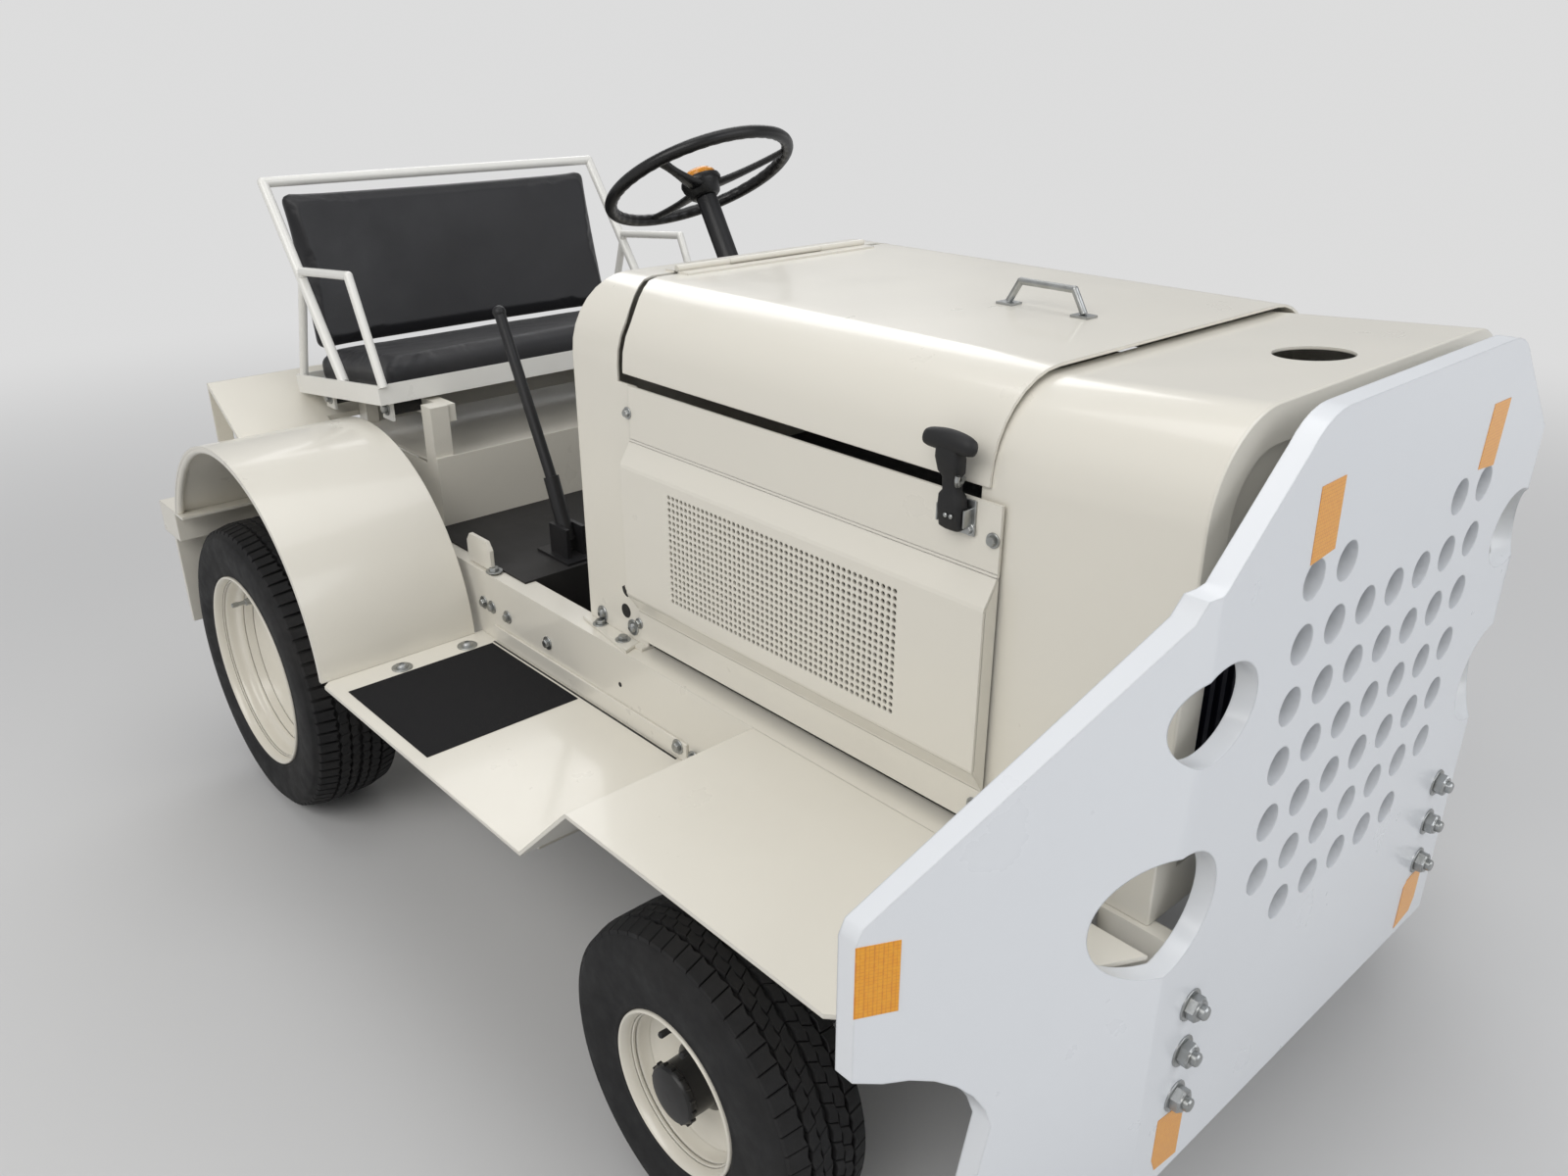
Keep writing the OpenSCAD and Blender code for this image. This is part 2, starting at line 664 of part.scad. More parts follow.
// Grab handle on the hood lid
module grab_handle() {
    z = hood_top_z + touch;
    x0 = cowl_x + 590;
    color(zinc) union() {
        for (x = [x0, x0 + 126]) translate([x - 14, -32, z]) cube([28, 24, 3]);
        bent_rod([[x0, -20, z + 4], [x0 + 18, -20, z + 34], [x0 + 108, -20, z + 34], [x0 + 126, -20, z + 4]], 5);
    }
}

// Steering wheel: a rim, three spokes and a hub on the column's axis
module steering_wheel() {
    ring_r = 13;
    color(black) translate(wheel_c) rotate([0, -steer_slope, 0]) union() {
        rotate_extrude($fn = 72) translate([steer_wheel_r - ring_r, 0]) circle(ring_r, $fn = 24);
        difference() {
            translate([0, 0, -40]) cylinder(h = 40, r = 34);
            translate([0, 0, -50]) cylinder(h = 44, r = shaft_r + 0.05);
        }
        for (a = [60, 180, 300]) rotate([0, 0, a]) rod([28, 0, -18], [steer_wheel_r - ring_r, 0, 0], 9);
    }
}

module horn_cap() {
    color(amber) translate(wheel_c) rotate([0, -steer_slope, 0]) translate([0, 0, touch]) cylinder(h = 14, r1 = 34, r2 = 26);
}

// Steering knuckle with its kingpin, spindle and steering arm
spindle_r = 20;
pin_r = 8;
arm_z = front_tyre_r - 24;
front_disc_y = front_wheel_y + 10;
module knuckle() {
    color(black) difference() {
        union() {
            translate([front_axle_x, kingpin_y, front_tyre_r - fork_h + 20.5]) cylinder(h = 2 * fork_h - 41, r = 26);
            translate([front_axle_x, kingpin_y, front_tyre_r - fork_h - 8]) cylinder(h = 2 * fork_h + 16, r = 12);
            translate([front_axle_x, kingpin_y, front_tyre_r])
                rotate([-90, 0, 0]) cylinder(h = front_disc_y + 36 - kingpin_y, r = spindle_r);
            hull() {
                translate([front_axle_x, kingpin_y, arm_z - 12]) cylinder(h = 20, r = 20, $fn = 32);
                translate([arm_x, arm_y, arm_z - 12]) cylinder(h = 20, r = 18, $fn = 32);
            }
        }
        translate([arm_x, arm_y, arm_z - 40]) cylinder(h = 80, r = pin_r + 1);
    }
}

module knuckle_left() { knuckle(); }
module knuckle_right() { mirror([0, 1, 0]) knuckle(); }

// Tie rod below the two steering arms, with a pin up through each
module tie_rod() {
    rod_z = arm_z - 34;
    color(black) union() {
        rod([arm_x, -arm_y, rod_z], [arm_x, arm_y, rod_z], 11);
        for (s = [-1, 1]) {
            translate([arm_x, s * arm_y, rod_z - 13]) cylinder(h = 28, r = 17);
            translate([arm_x, s * arm_y, rod_z]) cylinder(h = 52, r = pin_r);
        }
    }
}

// Half section of a tyre, as radius and width: bead, side wall, shoulder and crown
module tyre(r, rim, w) {
    bead = rim - 14;
    bead_w = 0.36 * w;
    side_w = w / 2;
    crown_w = 0.4 * w;
    rotate([90, 0, 0]) rotate_extrude($fn = 96)
        polygon([[bead, -bead_w], [rim, -bead_w - 2], [rim + 0.45 * (r - rim), -side_w], [r - 0.22 * (r - rim), -side_w + 3],
            [r - 6, -crown_w], [r, -0.22 * w], [r, 0.22 * w], [r - 6, crown_w], [r - 0.22 * (r - rim), side_w - 3],
            [rim + 0.45 * (r - rim), side_w], [rim, bead_w + 2], [bead, bead_w]]);
}

// Steel disc wheel: a barrel with flanges, a dished disc and a bored hub
module wheel(rim, w, disc_out, hub_r, bore_r, hub_l) {
    bead = rim - 14;
    bead_w = 0.36 * w + touch;
    out = -disc_out;
    rotate([90, 0, 0]) difference() {
        union() {
            rotate_extrude($fn = 96) polygon([[bead - 5, -bead_w - 7], [rim - 2, -bead_w - 9], [rim - 2, -bead_w - 2],
                [bead - touch, -bead_w], [bead - touch, bead_w], [rim - 2, bead_w + 2], [rim - 2, bead_w + 9],
                [bead - 5, bead_w + 7]]);
            translate([0, 0, out - 4]) cylinder(h = 8, r = bead - 2);
            translate([0, 0, out - hub_l / 2]) cylinder(h = hub_l, r = hub_r);
        }
        translate([0, 0, out - hub_l]) cylinder(h = 2 * hub_l, r = bore_r);
    }
}

module front_wheel_at() { translate([front_axle_x, front_wheel_y, front_tyre_r]) children(); }
module rear_wheel_at() { translate([rear_axle_x, rear_wheel_y, rear_tyre_r]) children(); }

module front_tyre() { color(tyre_black) front_wheel_at() tyre(front_tyre_r, front_rim_r, front_tyre_w); }
module rear_tyre() { color(tyre_black) rear_wheel_at() tyre(rear_tyre_r, rear_rim_r, rear_tyre_w); }
module front_rim() {
    color(paint) front_wheel_at() wheel(front_rim_r, front_tyre_w, front_disc_y - front_wheel_y, 42, spindle_r + 0.05, 60);
}
module rear_rim() {
    color(paint) rear_wheel_at() wheel(rear_rim_r, rear_tyre_w, rear_disc_y - rear_wheel_y, 66, rear_stub_r + 0.05, 64);
}

module front_tyre_left() { front_tyre(); }
module front_tyre_right() { mirror([0, 1, 0]) front_tyre(); }
module front_rim_left() { front_rim(); }
module front_rim_right() { mirror([0, 1, 0]) front_rim(); }
module rear_tyre_left() { rear_tyre(); }
module rear_tyre_right() { mirror([0, 1, 0]) rear_tyre(); }
module rear_rim_left() { rear_rim(); }
module rear_rim_right() { mirror([0, 1, 0]) rear_rim(); }

frame();
outriggers();
front_plate();
plate_brackets();
nose_cowl();
rear_cowl();
side_panel_right();
side_panel_left();
step_fender_right();
step_fender_left();
rear_fender_right();
rear_fender_left();
floor_pan();
seat_box();
rear_tray();
rear_beam();
hitch();
engine();
radiator();
driveline();
rear_axle();
front_axle();
leaf_springs();
steering_column();
pedals();
brake_lever();
latch_right();
latch_left();
seat_frame();
seat_mounts();
seat_cushion();
seat_back();
hood_lid();
grab_handle();
steering_wheel();
horn_cap();
knuckle_right();
knuckle_left();
tie_rod();
front_tyre_right();
front_tyre_left();
front_rim_right();
front_rim_left();
rear_tyre_right();
rear_tyre_left();
rear_rim_right();
rear_rim_left();
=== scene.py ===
import json
import math
import random

import bmesh
import bpy
from mathutils import Matrix, Vector, noise

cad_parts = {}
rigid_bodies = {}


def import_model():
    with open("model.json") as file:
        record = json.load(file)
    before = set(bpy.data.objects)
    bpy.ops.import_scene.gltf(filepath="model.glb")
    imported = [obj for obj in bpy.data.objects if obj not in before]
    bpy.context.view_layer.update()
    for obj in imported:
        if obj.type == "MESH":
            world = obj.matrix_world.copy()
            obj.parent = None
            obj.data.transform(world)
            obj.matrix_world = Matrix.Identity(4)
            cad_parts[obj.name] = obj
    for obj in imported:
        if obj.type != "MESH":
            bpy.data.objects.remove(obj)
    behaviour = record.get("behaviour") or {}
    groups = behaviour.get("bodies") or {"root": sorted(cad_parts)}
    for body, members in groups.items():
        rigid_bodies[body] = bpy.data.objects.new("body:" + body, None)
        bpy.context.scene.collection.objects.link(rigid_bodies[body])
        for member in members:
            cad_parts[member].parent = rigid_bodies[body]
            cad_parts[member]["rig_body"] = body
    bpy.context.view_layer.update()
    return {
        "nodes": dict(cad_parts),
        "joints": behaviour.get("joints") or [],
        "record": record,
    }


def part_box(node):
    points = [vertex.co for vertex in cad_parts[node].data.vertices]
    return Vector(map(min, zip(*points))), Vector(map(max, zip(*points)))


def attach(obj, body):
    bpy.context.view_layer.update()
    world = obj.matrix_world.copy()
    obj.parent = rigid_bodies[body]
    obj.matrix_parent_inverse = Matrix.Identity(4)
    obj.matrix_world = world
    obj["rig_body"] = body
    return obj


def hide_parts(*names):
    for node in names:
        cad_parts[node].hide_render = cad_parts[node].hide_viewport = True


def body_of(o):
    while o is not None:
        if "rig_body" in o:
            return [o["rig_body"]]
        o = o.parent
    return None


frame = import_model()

random.seed(7)
PI = math.pi
nodes = frame["nodes"]
slot_of = {part["node"]: part["material_slot"] for part in frame["record"]["subparts"]}
joint_at = {joint["name"]: Vector(joint["pos_m"]) for joint in frame["joints"]}
scene = bpy.context.scene


def vec(*numbers):
    return Vector(numbers)


def middle(node):
    low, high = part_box(node)
    return (low + high) / 2


def span(a, b):
    """Two numbers as low and high, for a range that is mirrored from side to side."""
    return (a, b) if a < b else (b, a)


# Sizes in metres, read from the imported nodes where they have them
FRONT_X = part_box("front_plate")[1].x
DECK_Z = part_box("frame")[1].z                        # top of the rails
STEP_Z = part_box("step_fender_right")[0].z + 0.006    # top of a running board
RAIL_Y = 0.408                                       # outer face of a rail
LEDGE_REAR_X = -0.245
LID_LOW, LID_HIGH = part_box("hood_lid")
HOOD_Y = (LID_LOW.y + LID_HIGH.y) / 2
HOOD_HALF = (LID_HIGH.y - LID_LOW.y) / 2
PANEL_HALF = HOOD_HALF + 0.0042
HINGE_X = joint_at["hood_lid_hinge"].x
WHEEL_CENTRE = joint_at["steering_wheel_turn"]
WHEEL_SLOPE = math.radians(30.6)
SIDES = {"left": 1, "right": -1}


def panel_y(sign, out=0.0):
    """Y of a side panel's flat face on the left (1) or the right (-1)."""
    return HOOD_Y + sign * (PANEL_HALF + out)


# Materials
def rgb(red, green, blue):
    """A linear colour from 8-bit display values."""
    def linear(c):
        c /= 255.0
        return c / 12.92 if c <= 0.04045 else ((c + 0.055) / 1.055) ** 2.4
    return (linear(red), linear(green), linear(blue), 1.0)


class Finish:
    """A node material: a base colour broken up by noise, with roughness and bump."""

    def __init__(self, name, color, rough=0.4, metallic=0.0, coat=0.0, coat_rough=0.05, spec=0.5, sheen=0.0):
        self.material = bpy.data.materials.new(name)
        self.material.use_nodes = True
        self.material.diffuse_color = color
        self.tree = self.material.node_tree
        self.shader = self.tree.nodes["Principled BSDF"]
        self.color = color
        self.normal = None
        values = {"Base Color": color, "Roughness": rough, "Metallic": metallic, "Coat Weight": coat,
                  "Coat Roughness": coat_rough, "Specular IOR Level": spec, "Sheen Weight": sheen}
        for socket, value in values.items():
            self.shader.inputs[socket].default_value = value
        self.coord = self.new("ShaderNodeTexCoord").outputs["Object"]

    def new(self, kind, **settings):
        node = self.tree.nodes.new(kind)
        for key, value in settings.items():
            setattr(node, key, value)
        return node

    def link(self, a, b):
        self.tree.links.new(a, b)

    def noise(self, scale, detail=4.0, rough=0.55):
        node = self.new("ShaderNodeTexNoise")
        node.inputs["Scale"].default_value = scale
        node.inputs["Detail"].default_value = detail
        node.inputs["Roughness"].default_value = rough
        self.link(self.coord, node.inputs["Vector"])
        return node.outputs["Fac"]

    def voronoi(self, scale, feature="F1", randomness=1.0):
        node = self.new("ShaderNodeTexVoronoi", feature=feature)
        node.inputs["Scale"].default_value = scale
        node.inputs["Randomness"].default_value = randomness
        self.link(self.coord, node.inputs["Vector"])
        return node.outputs["Distance"]

    def ramp(self, mask, start, end, low=0.0, high=1.0):
        """Maps a mask's values from start to end onto low to high."""
        node = self.new("ShaderNodeMapRange")
        for socket, value in (("From Min", start), ("From Max", end), ("To Min", low), ("To Max", high)):
            node.inputs[socket].default_value = value
        self.link(mask, node.inputs["Value"])
        return node.outputs["Result"]

    def tint(self, mask, color):
        """Mixes another colour over what the base colour has, by a mask."""
        mix = self.new("ShaderNodeMix", data_type="RGBA")
        base = self.shader.inputs["Base Color"]
        if base.is_linked:
            self.link(base.links[0].from_socket, mix.inputs["A"])
        else:
            mix.inputs["A"].default_value = self.color
        mix.inputs["B"].default_value = color
        self.link(mask, mix.inputs["Factor"])
        self.link(mix.outputs["Result"], base)

    def rough_by(self, mask, start, end, low, high):
        self.link(self.ramp(mask, start, end, low, high), self.shader.inputs["Roughness"])

    def use_normal(self, output):
        self.normal = output
        self.link(output, self.shader.inputs["Normal"])

    def bump(self, height, strength, distance):
        node = self.new("ShaderNodeBump")
        node.inputs["Strength"].default_value = strength
        node.inputs["Distance"].default_value = distance
        self.link(height, node.inputs["Height"])
        if self.normal:
            self.link(self.normal, node.inputs["Normal"])
        self.use_normal(node.outputs["Normal"])

    def soft_edges(self, radius):
        node = self.new("ShaderNodeBevel", samples=4)
        node.inputs["Radius"].default_value = radius
        self.use_normal(node.outputs["Normal"])


def paint(name, color, edge=0.0025, dirt=0.10, shade=rgb(186, 178, 158)):
    """Gloss paint: rounded edges, orange peel, faint patches and fine specks."""
    f = Finish(name, color, rough=0.32, coat=0.42, coat_rough=0.10)
    f.soft_edges(edge)
    f.bump(f.noise(260, 2), 0.05, 0.0006)
    f.bump(f.noise(14, 3), 0.05, 0.004)
    f.tint(f.ramp(f.noise(2.6, 6, 0.62), 0.52, 0.86, 0.0, dirt * 2.2), shade)
    f.tint(f.ramp(f.noise(90, 8, 0.8), 0.74, 0.90, 0.0, dirt), rgb(120, 110, 92))
    f.rough_by(f.noise(9, 5), 0.3, 0.75, 0.27, 0.36)
    return f.material


def tyre_rubber():
    f = Finish("tyre_rubber", rgb(30, 30, 31), rough=0.72, spec=0.35)
    f.tint(f.ramp(f.noise(5, 6, 0.6), 0.5, 0.8, 0.0, 0.5), rgb(46, 43, 40))
    f.tint(f.ramp(f.noise(60, 6, 0.7), 0.62, 0.8, 0.0, 0.35), rgb(62, 57, 52))
    f.rough_by(f.noise(30, 5), 0.3, 0.7, 0.62, 0.85)
    f.bump(f.noise(420, 3), 0.25, 0.0006)
    return f.material


def vinyl():
    f = Finish("black_vinyl", rgb(31, 31, 34), rough=0.46, spec=0.45, sheen=0.08)
    f.tint(f.ramp(f.noise(3.2, 5), 0.45, 0.8, 0.0, 0.55), rgb(44, 43, 44))
    f.rough_by(f.noise(7, 5), 0.3, 0.75, 0.38, 0.56)
    f.bump(f.voronoi(520), 0.28, 0.0006)
    f.bump(f.noise(22, 4), 0.12, 0.004)
    return f.material


def dark_coat(name, color, rough, grain, depth, edge=0.0):
    """Black paint, plastic, rubber or casting, by its roughness and its grain."""
    f = Finish(name, color, rough=rough, spec=0.4)
    if edge:
        f.soft_edges(edge)
    f.tint(f.ramp(f.noise(6, 6), 0.45, 0.8, 0.0, 0.5), rgb(54, 52, 50))
    f.rough_by(f.noise(12, 5), 0.3, 0.75, rough - 0.08, rough + 0.1)
    f.bump(f.noise(grain, 4, 0.7), 0.5, depth)
    return f.material


def zinc_plate():
    rough = 0.34
    f = Finish("zinc_plate", rgb(176, 178, 178), rough=rough, metallic=1.0)
    f.tint(f.ramp(f.noise(45, 5), 0.45, 0.75, 0.0, 0.6), rgb(140, 140, 132))
    f.rough_by(f.noise(120, 4), 0.3, 0.7, rough - 0.06, rough + 0.14)
    f.bump(f.noise(300, 3), 0.15, 0.0004)
    return f.material


def amber_plastic():
    f = Finish("amber_plastic", rgb(222, 146, 12), rough=0.3, coat=0.3)
    f.tint(f.ramp(f.noise(30, 4), 0.45, 0.8, 0.0, 0.4), rgb(196, 110, 6))
    return f.material


def reflective_tape():
    f = Finish("amber_tape", rgb(238, 160, 14), rough=0.3, coat=0.4, spec=0.6)
    cells = f.voronoi(230, "DISTANCE_TO_EDGE", 0.0)
    f.tint(f.ramp(cells, 0.0, 0.12, 0.85, 0.0), rgb(206, 116, 6))
    f.tint(f.ramp(f.noise(180, 2), 0.4, 0.7, 0.0, 0.35), rgb(248, 184, 44))
    f.bump(cells, 0.35, 0.0005)
    return f.material


def anti_slip_grit():
    f = Finish("anti_slip_grit", rgb(26, 26, 28), rough=0.9, spec=0.25)
    f.tint(f.ramp(f.voronoi(900), 0.0, 0.35, 0.4, 0.0), rgb(58, 58, 60))
    f.bump(f.voronoi(900), 0.8, 0.0009)
    f.bump(f.noise(500, 3), 0.4, 0.0006)
    return f.material


CREAM = paint("cream_paint_gloss", rgb(225, 221, 210), dirt=0.035)
WHITE = paint("plate_paint_gloss", rgb(227, 230, 234), edge=0.003, dirt=0.02, shade=rgb(196, 204, 214))
RIM = paint("rim_paint_gloss", rgb(226, 221, 208), edge=0.002, dirt=0.06)
TUBE = paint("tube_paint_gloss", rgb(232, 231, 226), edge=0.001, dirt=0.05)
TYRE = tyre_rubber()
VINYL = vinyl()
STEEL = dark_coat("black_steel_paint", rgb(30, 30, 32), 0.42, 90, 0.0008, 0.0015)
FLOOR = dark_coat("black_floor_coat", rgb(36, 35, 35), 0.62, 700, 0.0010)
CAST = dark_coat("cast_iron_paint", rgb(34, 35, 37), 0.6, 160, 0.0015, 0.003)
PLASTIC = dark_coat("black_plastic", rgb(22, 22, 23), 0.34, 420, 0.0003)
RUBBER = dark_coat("black_rubber", rgb(30, 30, 31), 0.62, 260, 0.0005, 0.002)
CORE = dark_coat("radiator_core", rgb(30, 34, 46), 0.5, 300, 0.0008)
ZINC = zinc_plate()
AMBER = amber_plastic()
TAPE = reflective_tape()
GRIT = anti_slip_grit()

finish_of_slot = {"cream_paint": CREAM, "white_paint": WHITE, "rim_paint": RIM, "tyre": TYRE, "zinc": ZINC,
                  "amber_plastic": AMBER, "black_vinyl": VINYL, "black_rubber": RUBBER,
                  "black_plastic": PLASTIC, "floor_coat": FLOOR, "radiator_core": CORE, "cast_iron": CAST,
                  "black_steel": STEEL}
for name, obj in nodes.items():
    obj.data.materials.clear()
    obj.data.materials.append(TUBE if name == "seat_frame" else finish_of_slot[slot_of[name]])


# Mesh helpers
def turn(count):
    """Cosine and sine of evenly spaced angles, once round."""
    return [(math.cos(2 * PI * j / count), math.sin(2 * PI * j / count)) for j in range(count)]


def smooth(obj, crease):
    for face in obj.data.polygons:
        face.use_smooth = True
    bpy.context.view_layer.objects.active = obj
    obj.select_set(True)
    bpy.ops.object.shade_smooth_by_angle(angle=math.radians(crease))
    obj.select_set(False)


def even_normals(obj):
    even = obj.modifiers.new("even", "WEIGHTED_NORMAL")
    even.keep_sharp = True


def closed_mesh(name, verts, faces):
    """A mesh whose normals point outwards."""
    mesh = bpy.data.meshes.new(name)
    mesh.from_pydata(verts, [], faces)
    mesh.validate()
    bm = bmesh.new()
    bm.from_mesh(mesh)
    bmesh.ops.recalc_face_normals(bm, faces=bm.faces)
    bm.to_mesh(mesh)
    bm.free()
    return mesh


class Shape:
    """Collects vertices and faces, then makes one piece of them."""

    def __init__(self):
        self.verts, self.faces = [], []

    def add(self, verts, faces, place=None):
        first = len(self.verts)
        self.verts += [tuple(place @ Vector(p)) if place else tuple(p) for p in verts]
        self.faces += [tuple(first + i for i in face) for face in faces]

    def loft(self, rings, place=None, cap=True):
        """Quads between closed rings of the same number of points."""
        count = len(rings[0])
        faces = []
        for i in range(len(rings) - 1):
            for j in range(count):
                a, b = i * count + j, i * count + (j + 1) % count
                faces.append((a, b, b + count, a + count))
        if cap:
            faces.append(tuple(range(count - 1, -1, -1)))
            faces.append(tuple((len(rings) - 1) * count + j for j in range(count)))
        self.add([p for ring in rings for p in ring], faces, place)

    def lathe(self, profile, count, place=None, cap=True):
        """Turns (radius, height) pairs about Z."""
        self.loft([[(r * c, r * s, height) for c, s in turn(count)] for r, height in profile], place, cap)

    def box(self, low, high, place=None, bevel=0.0):
        """A box between two corners, with its edges cut off by bevel."""
        rings = []
        for z, inset in ((low[2], bevel), (low[2] + bevel, 0), (high[2] - bevel, 0), (high[2], bevel)):
            x0, x1, y0, y1 = low[0] + inset, high[0] - inset, low[1] + inset, high[1] - inset
            rings.append([(x0 + bevel, y0, z), (x1 - bevel, y0, z), (x1, y0 + bevel, z), (x1, y1 - bevel, z),
                          (x1 - bevel, y1, z), (x0 + bevel, y1, z), (x0, y1 - bevel, z), (x0, y0 + bevel, z)])
        if not bevel:
            # the cut-off corners and rings lie on one another
            rings = [ring[::2] for ring in rings[::3]]
        self.loft(rings, place)

    def tube(self, points, radii, count):
        """A round bar through points, with a radius at each."""
        rings = []
        up = None
        for i, (p, radius) in enumerate(zip(points, radii)):
            ahead = (points[min(i + 1, len(points) - 1)] - points[max(i - 1, 0)]).normalized()
            if up is None:
                up = ahead.orthogonal().normalized()
            up = (up - ahead * up.dot(ahead)).normalized()
            side = ahead.cross(up)
            rings.append([p + (up * c * radius + side * s * radius) for c, s in turn(count)])
        self.loft(rings)

    def make(self, name, material, body, slot, crease=30, stands_for=None):
        """The piece itself, riding on a body. A crease of 0 leaves it flat shaded."""
        obj = bpy.data.objects.new(name, closed_mesh(name, self.verts, self.faces))
        scene.collection.objects.link(obj)
        obj.data.materials.append(material)
        if crease:
            smooth(obj, crease)
        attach(obj, body)
        if stands_for:
            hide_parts(stands_for)
        return obj


def basis(center, z_dir, x_hint=(0, 0, 1)):
    """A matrix at center whose Z is z_dir."""
    z = Vector(z_dir).normalized()
    hint = Vector(x_hint)
    if abs(z.dot(hint.normalized())) > 0.95:
        hint = vec(1, 0, 0)
    x = (hint - z * hint.dot(z)).normalized()
    y = z.cross(x)
    return Matrix(((x.x, y.x, z.x, center[0]), (x.y, y.y, z.y, center[1]), (x.z, y.z, z.z, center[2]),
                   (0, 0, 0, 1)))


def curve_through(points, steps=3):
    """Catmull-Rom points through a list of points."""
    def blend(p0, p1, p2, p3, t):
        return 0.5 * ((2 * p1) + (-p0 + p2) * t + (2 * p0 - 5 * p1 + 4 * p2 - p3) * t * t
                      + (-p0 + 3 * p1 - 3 * p2 + p3) * t ** 3)

    last = len(points) - 1
    curve = []
    for i in range(last):
        near = [points[max(i - 1, 0)], points[i], points[i + 1], points[min(i + 2, last)]]
        for k in range(steps):
            curve.append(tuple(blend(*values, k / steps) for values in zip(*near)))
    curve.append(tuple(points[-1]))
    return curve


# Painted nodes, welded so that their bends shade as bends
def seam_moved(edge_x):
    """Moves the hood's seam at edge_x: over the shoulders it lies further forward than at the hinge."""
    def moved(p):
        share = min(1.0, max(0.0, (abs(p.y) - 0.266) / 0.080))
        return vec(p.x + (0.056 * share if abs(p.x - edge_x) < 0.0008 else 0.0), p.y, p.z)
    return moved


def dressed(name, moved=Vector):
    """A piece made from a node's own faces."""
    bm = bmesh.new()
    bm.from_mesh(nodes[name].data)
    bmesh.ops.remove_doubles(bm, verts=bm.verts, dist=2e-5)
    bmesh.ops.dissolve_degenerate(bm, edges=bm.edges, dist=1e-6)
    bm.verts.index_update()
    shape = Shape()
    shape.add([moved(v.co) for v in bm.verts], [[v.index for v in face.verts] for face in bm.faces])
    bm.free()
    body = body_of(nodes[name])[0]
    even_normals(shape.make("skin_" + name, nodes[name].data.materials[0], body, slot_of[name],
                            stands_for=name))


dressed("rear_cowl", seam_moved(HINGE_X - 0.008))
dressed("hood_lid", seam_moved(HINGE_X + 0.006))
for name in ("front_plate", "rear_fender_left", "rear_fender_right", "seat_frame", "grab_handle",
             "steering_column", "brake_lever", "seat_mounts", "hitch", "rear_axle", "driveline", "tie_rod"):
    dressed(name)


# Nose: straight sides, a flat front with a wide mouth, a top that rises a little
def carved(base, cuts):
    """A closed shape with others cut out of it."""
    solids = []
    for part in [base] + cuts:
        obj = bpy.data.objects.new("carve", closed_mesh("carve", part.verts, part.faces))
        scene.collection.objects.link(obj)
        solids.append(obj)
    for obj in solids[1:]:
        cut = solids[0].modifiers.new("cut", "BOOLEAN")
        cut.operation = "DIFFERENCE"
        cut.solver = "EXACT"
        cut.object = obj
    bpy.context.view_layer.update()
    mesh = bpy.data.meshes.new_from_object(solids[0].evaluated_get(bpy.context.evaluated_depsgraph_get()))
    for obj in solids:
        bpy.data.objects.remove(obj)
    shape = Shape()
    shape.add([v.co for v in mesh.vertices], [list(face.vertices) for face in mesh.polygons])
    return shape


def hood_ring(x, half, top, low, radius, steps=14):
    """Cross-section of the hood at x: flat sides and top with round shoulders."""
    points = [(x, HOOD_Y - half, low)]
    for centre, start in ((-half + radius, PI), (half - radius, PI / 2)):
        for k in range(steps + 1):
            a = start - PI / 2 * k / steps
            points.append((x, HOOD_Y + centre + radius * math.cos(a), top - radius + radius * math.sin(a)))
    return points + [(x, HOOD_Y + half, low)]


def nose():
    foot = DECK_Z + 0.0003
    half, top, rise, sheet = HOOD_HALF - 0.0042, LID_HIGH.z - 0.024, 0.020, 0.004
    back_x, front_x, filler_x, filler_r = 0.870, 1.150, 1.060, 0.047
    shoulder, edge, mouth_in = 0.113, 0.002, 0.046
    base, inner, mouth, filler = Shape(), Shape(), Shape(), Shape()
    base.loft([hood_ring(back_x, half, top, foot, shoulder),
               hood_ring(front_x - edge, half, top + rise, foot, shoulder),
               hood_ring(front_x, half - edge, top + rise - edge, foot, shoulder - edge)])
    inner.loft([hood_ring(back_x - 0.02, half - sheet, top - sheet - 0.0014, foot - 0.05, shoulder - sheet),
                hood_ring(front_x - sheet, half - sheet, top + rise - sheet, foot - 0.05, shoulder - sheet)])
    mouth.loft([hood_ring(x, half - mouth_in, top + rise - mouth_in, foot + 0.060, 0.070)
                for x in (front_x - 0.02, front_x + 0.02)])
    filler.lathe([(filler_r, -0.1), (filler_r, 0.1)], 64, Matrix.Translation((filler_x, HOOD_Y, top + 0.01)))
    shell = carved(base, [inner, mouth, filler])
    even_normals(shell.make("nose_shell", CREAM, "chassis", slot_of["nose_cowl"], stands_for="nose_cowl"))

    frame_back, frame_front, bar_bottom = front_x - 0.014, front_x - 0.010, 1.055
    bars = Shape()
    bars.box((frame_back, HOOD_Y - half + 0.051, bar_bottom),
             (frame_front, HOOD_Y + half - 0.051, top + rise - 0.030), None, 0.0008)
    for sign in SIDES.values():
        y0, y1 = span(HOOD_Y + sign * (half - 0.0045), HOOD_Y + sign * (half - 0.050))
        bars.box((frame_back, y0, foot + 0.0005), (frame_front, y1, top + rise - 0.120), None, 0.0008)
    bars.make("nose_inner_frame", CREAM, "chassis", slot_of["nose_cowl"])


nose()


# Tyres
FRONT_RIM_R = 0.122
REAR_RIM_R = 0.208

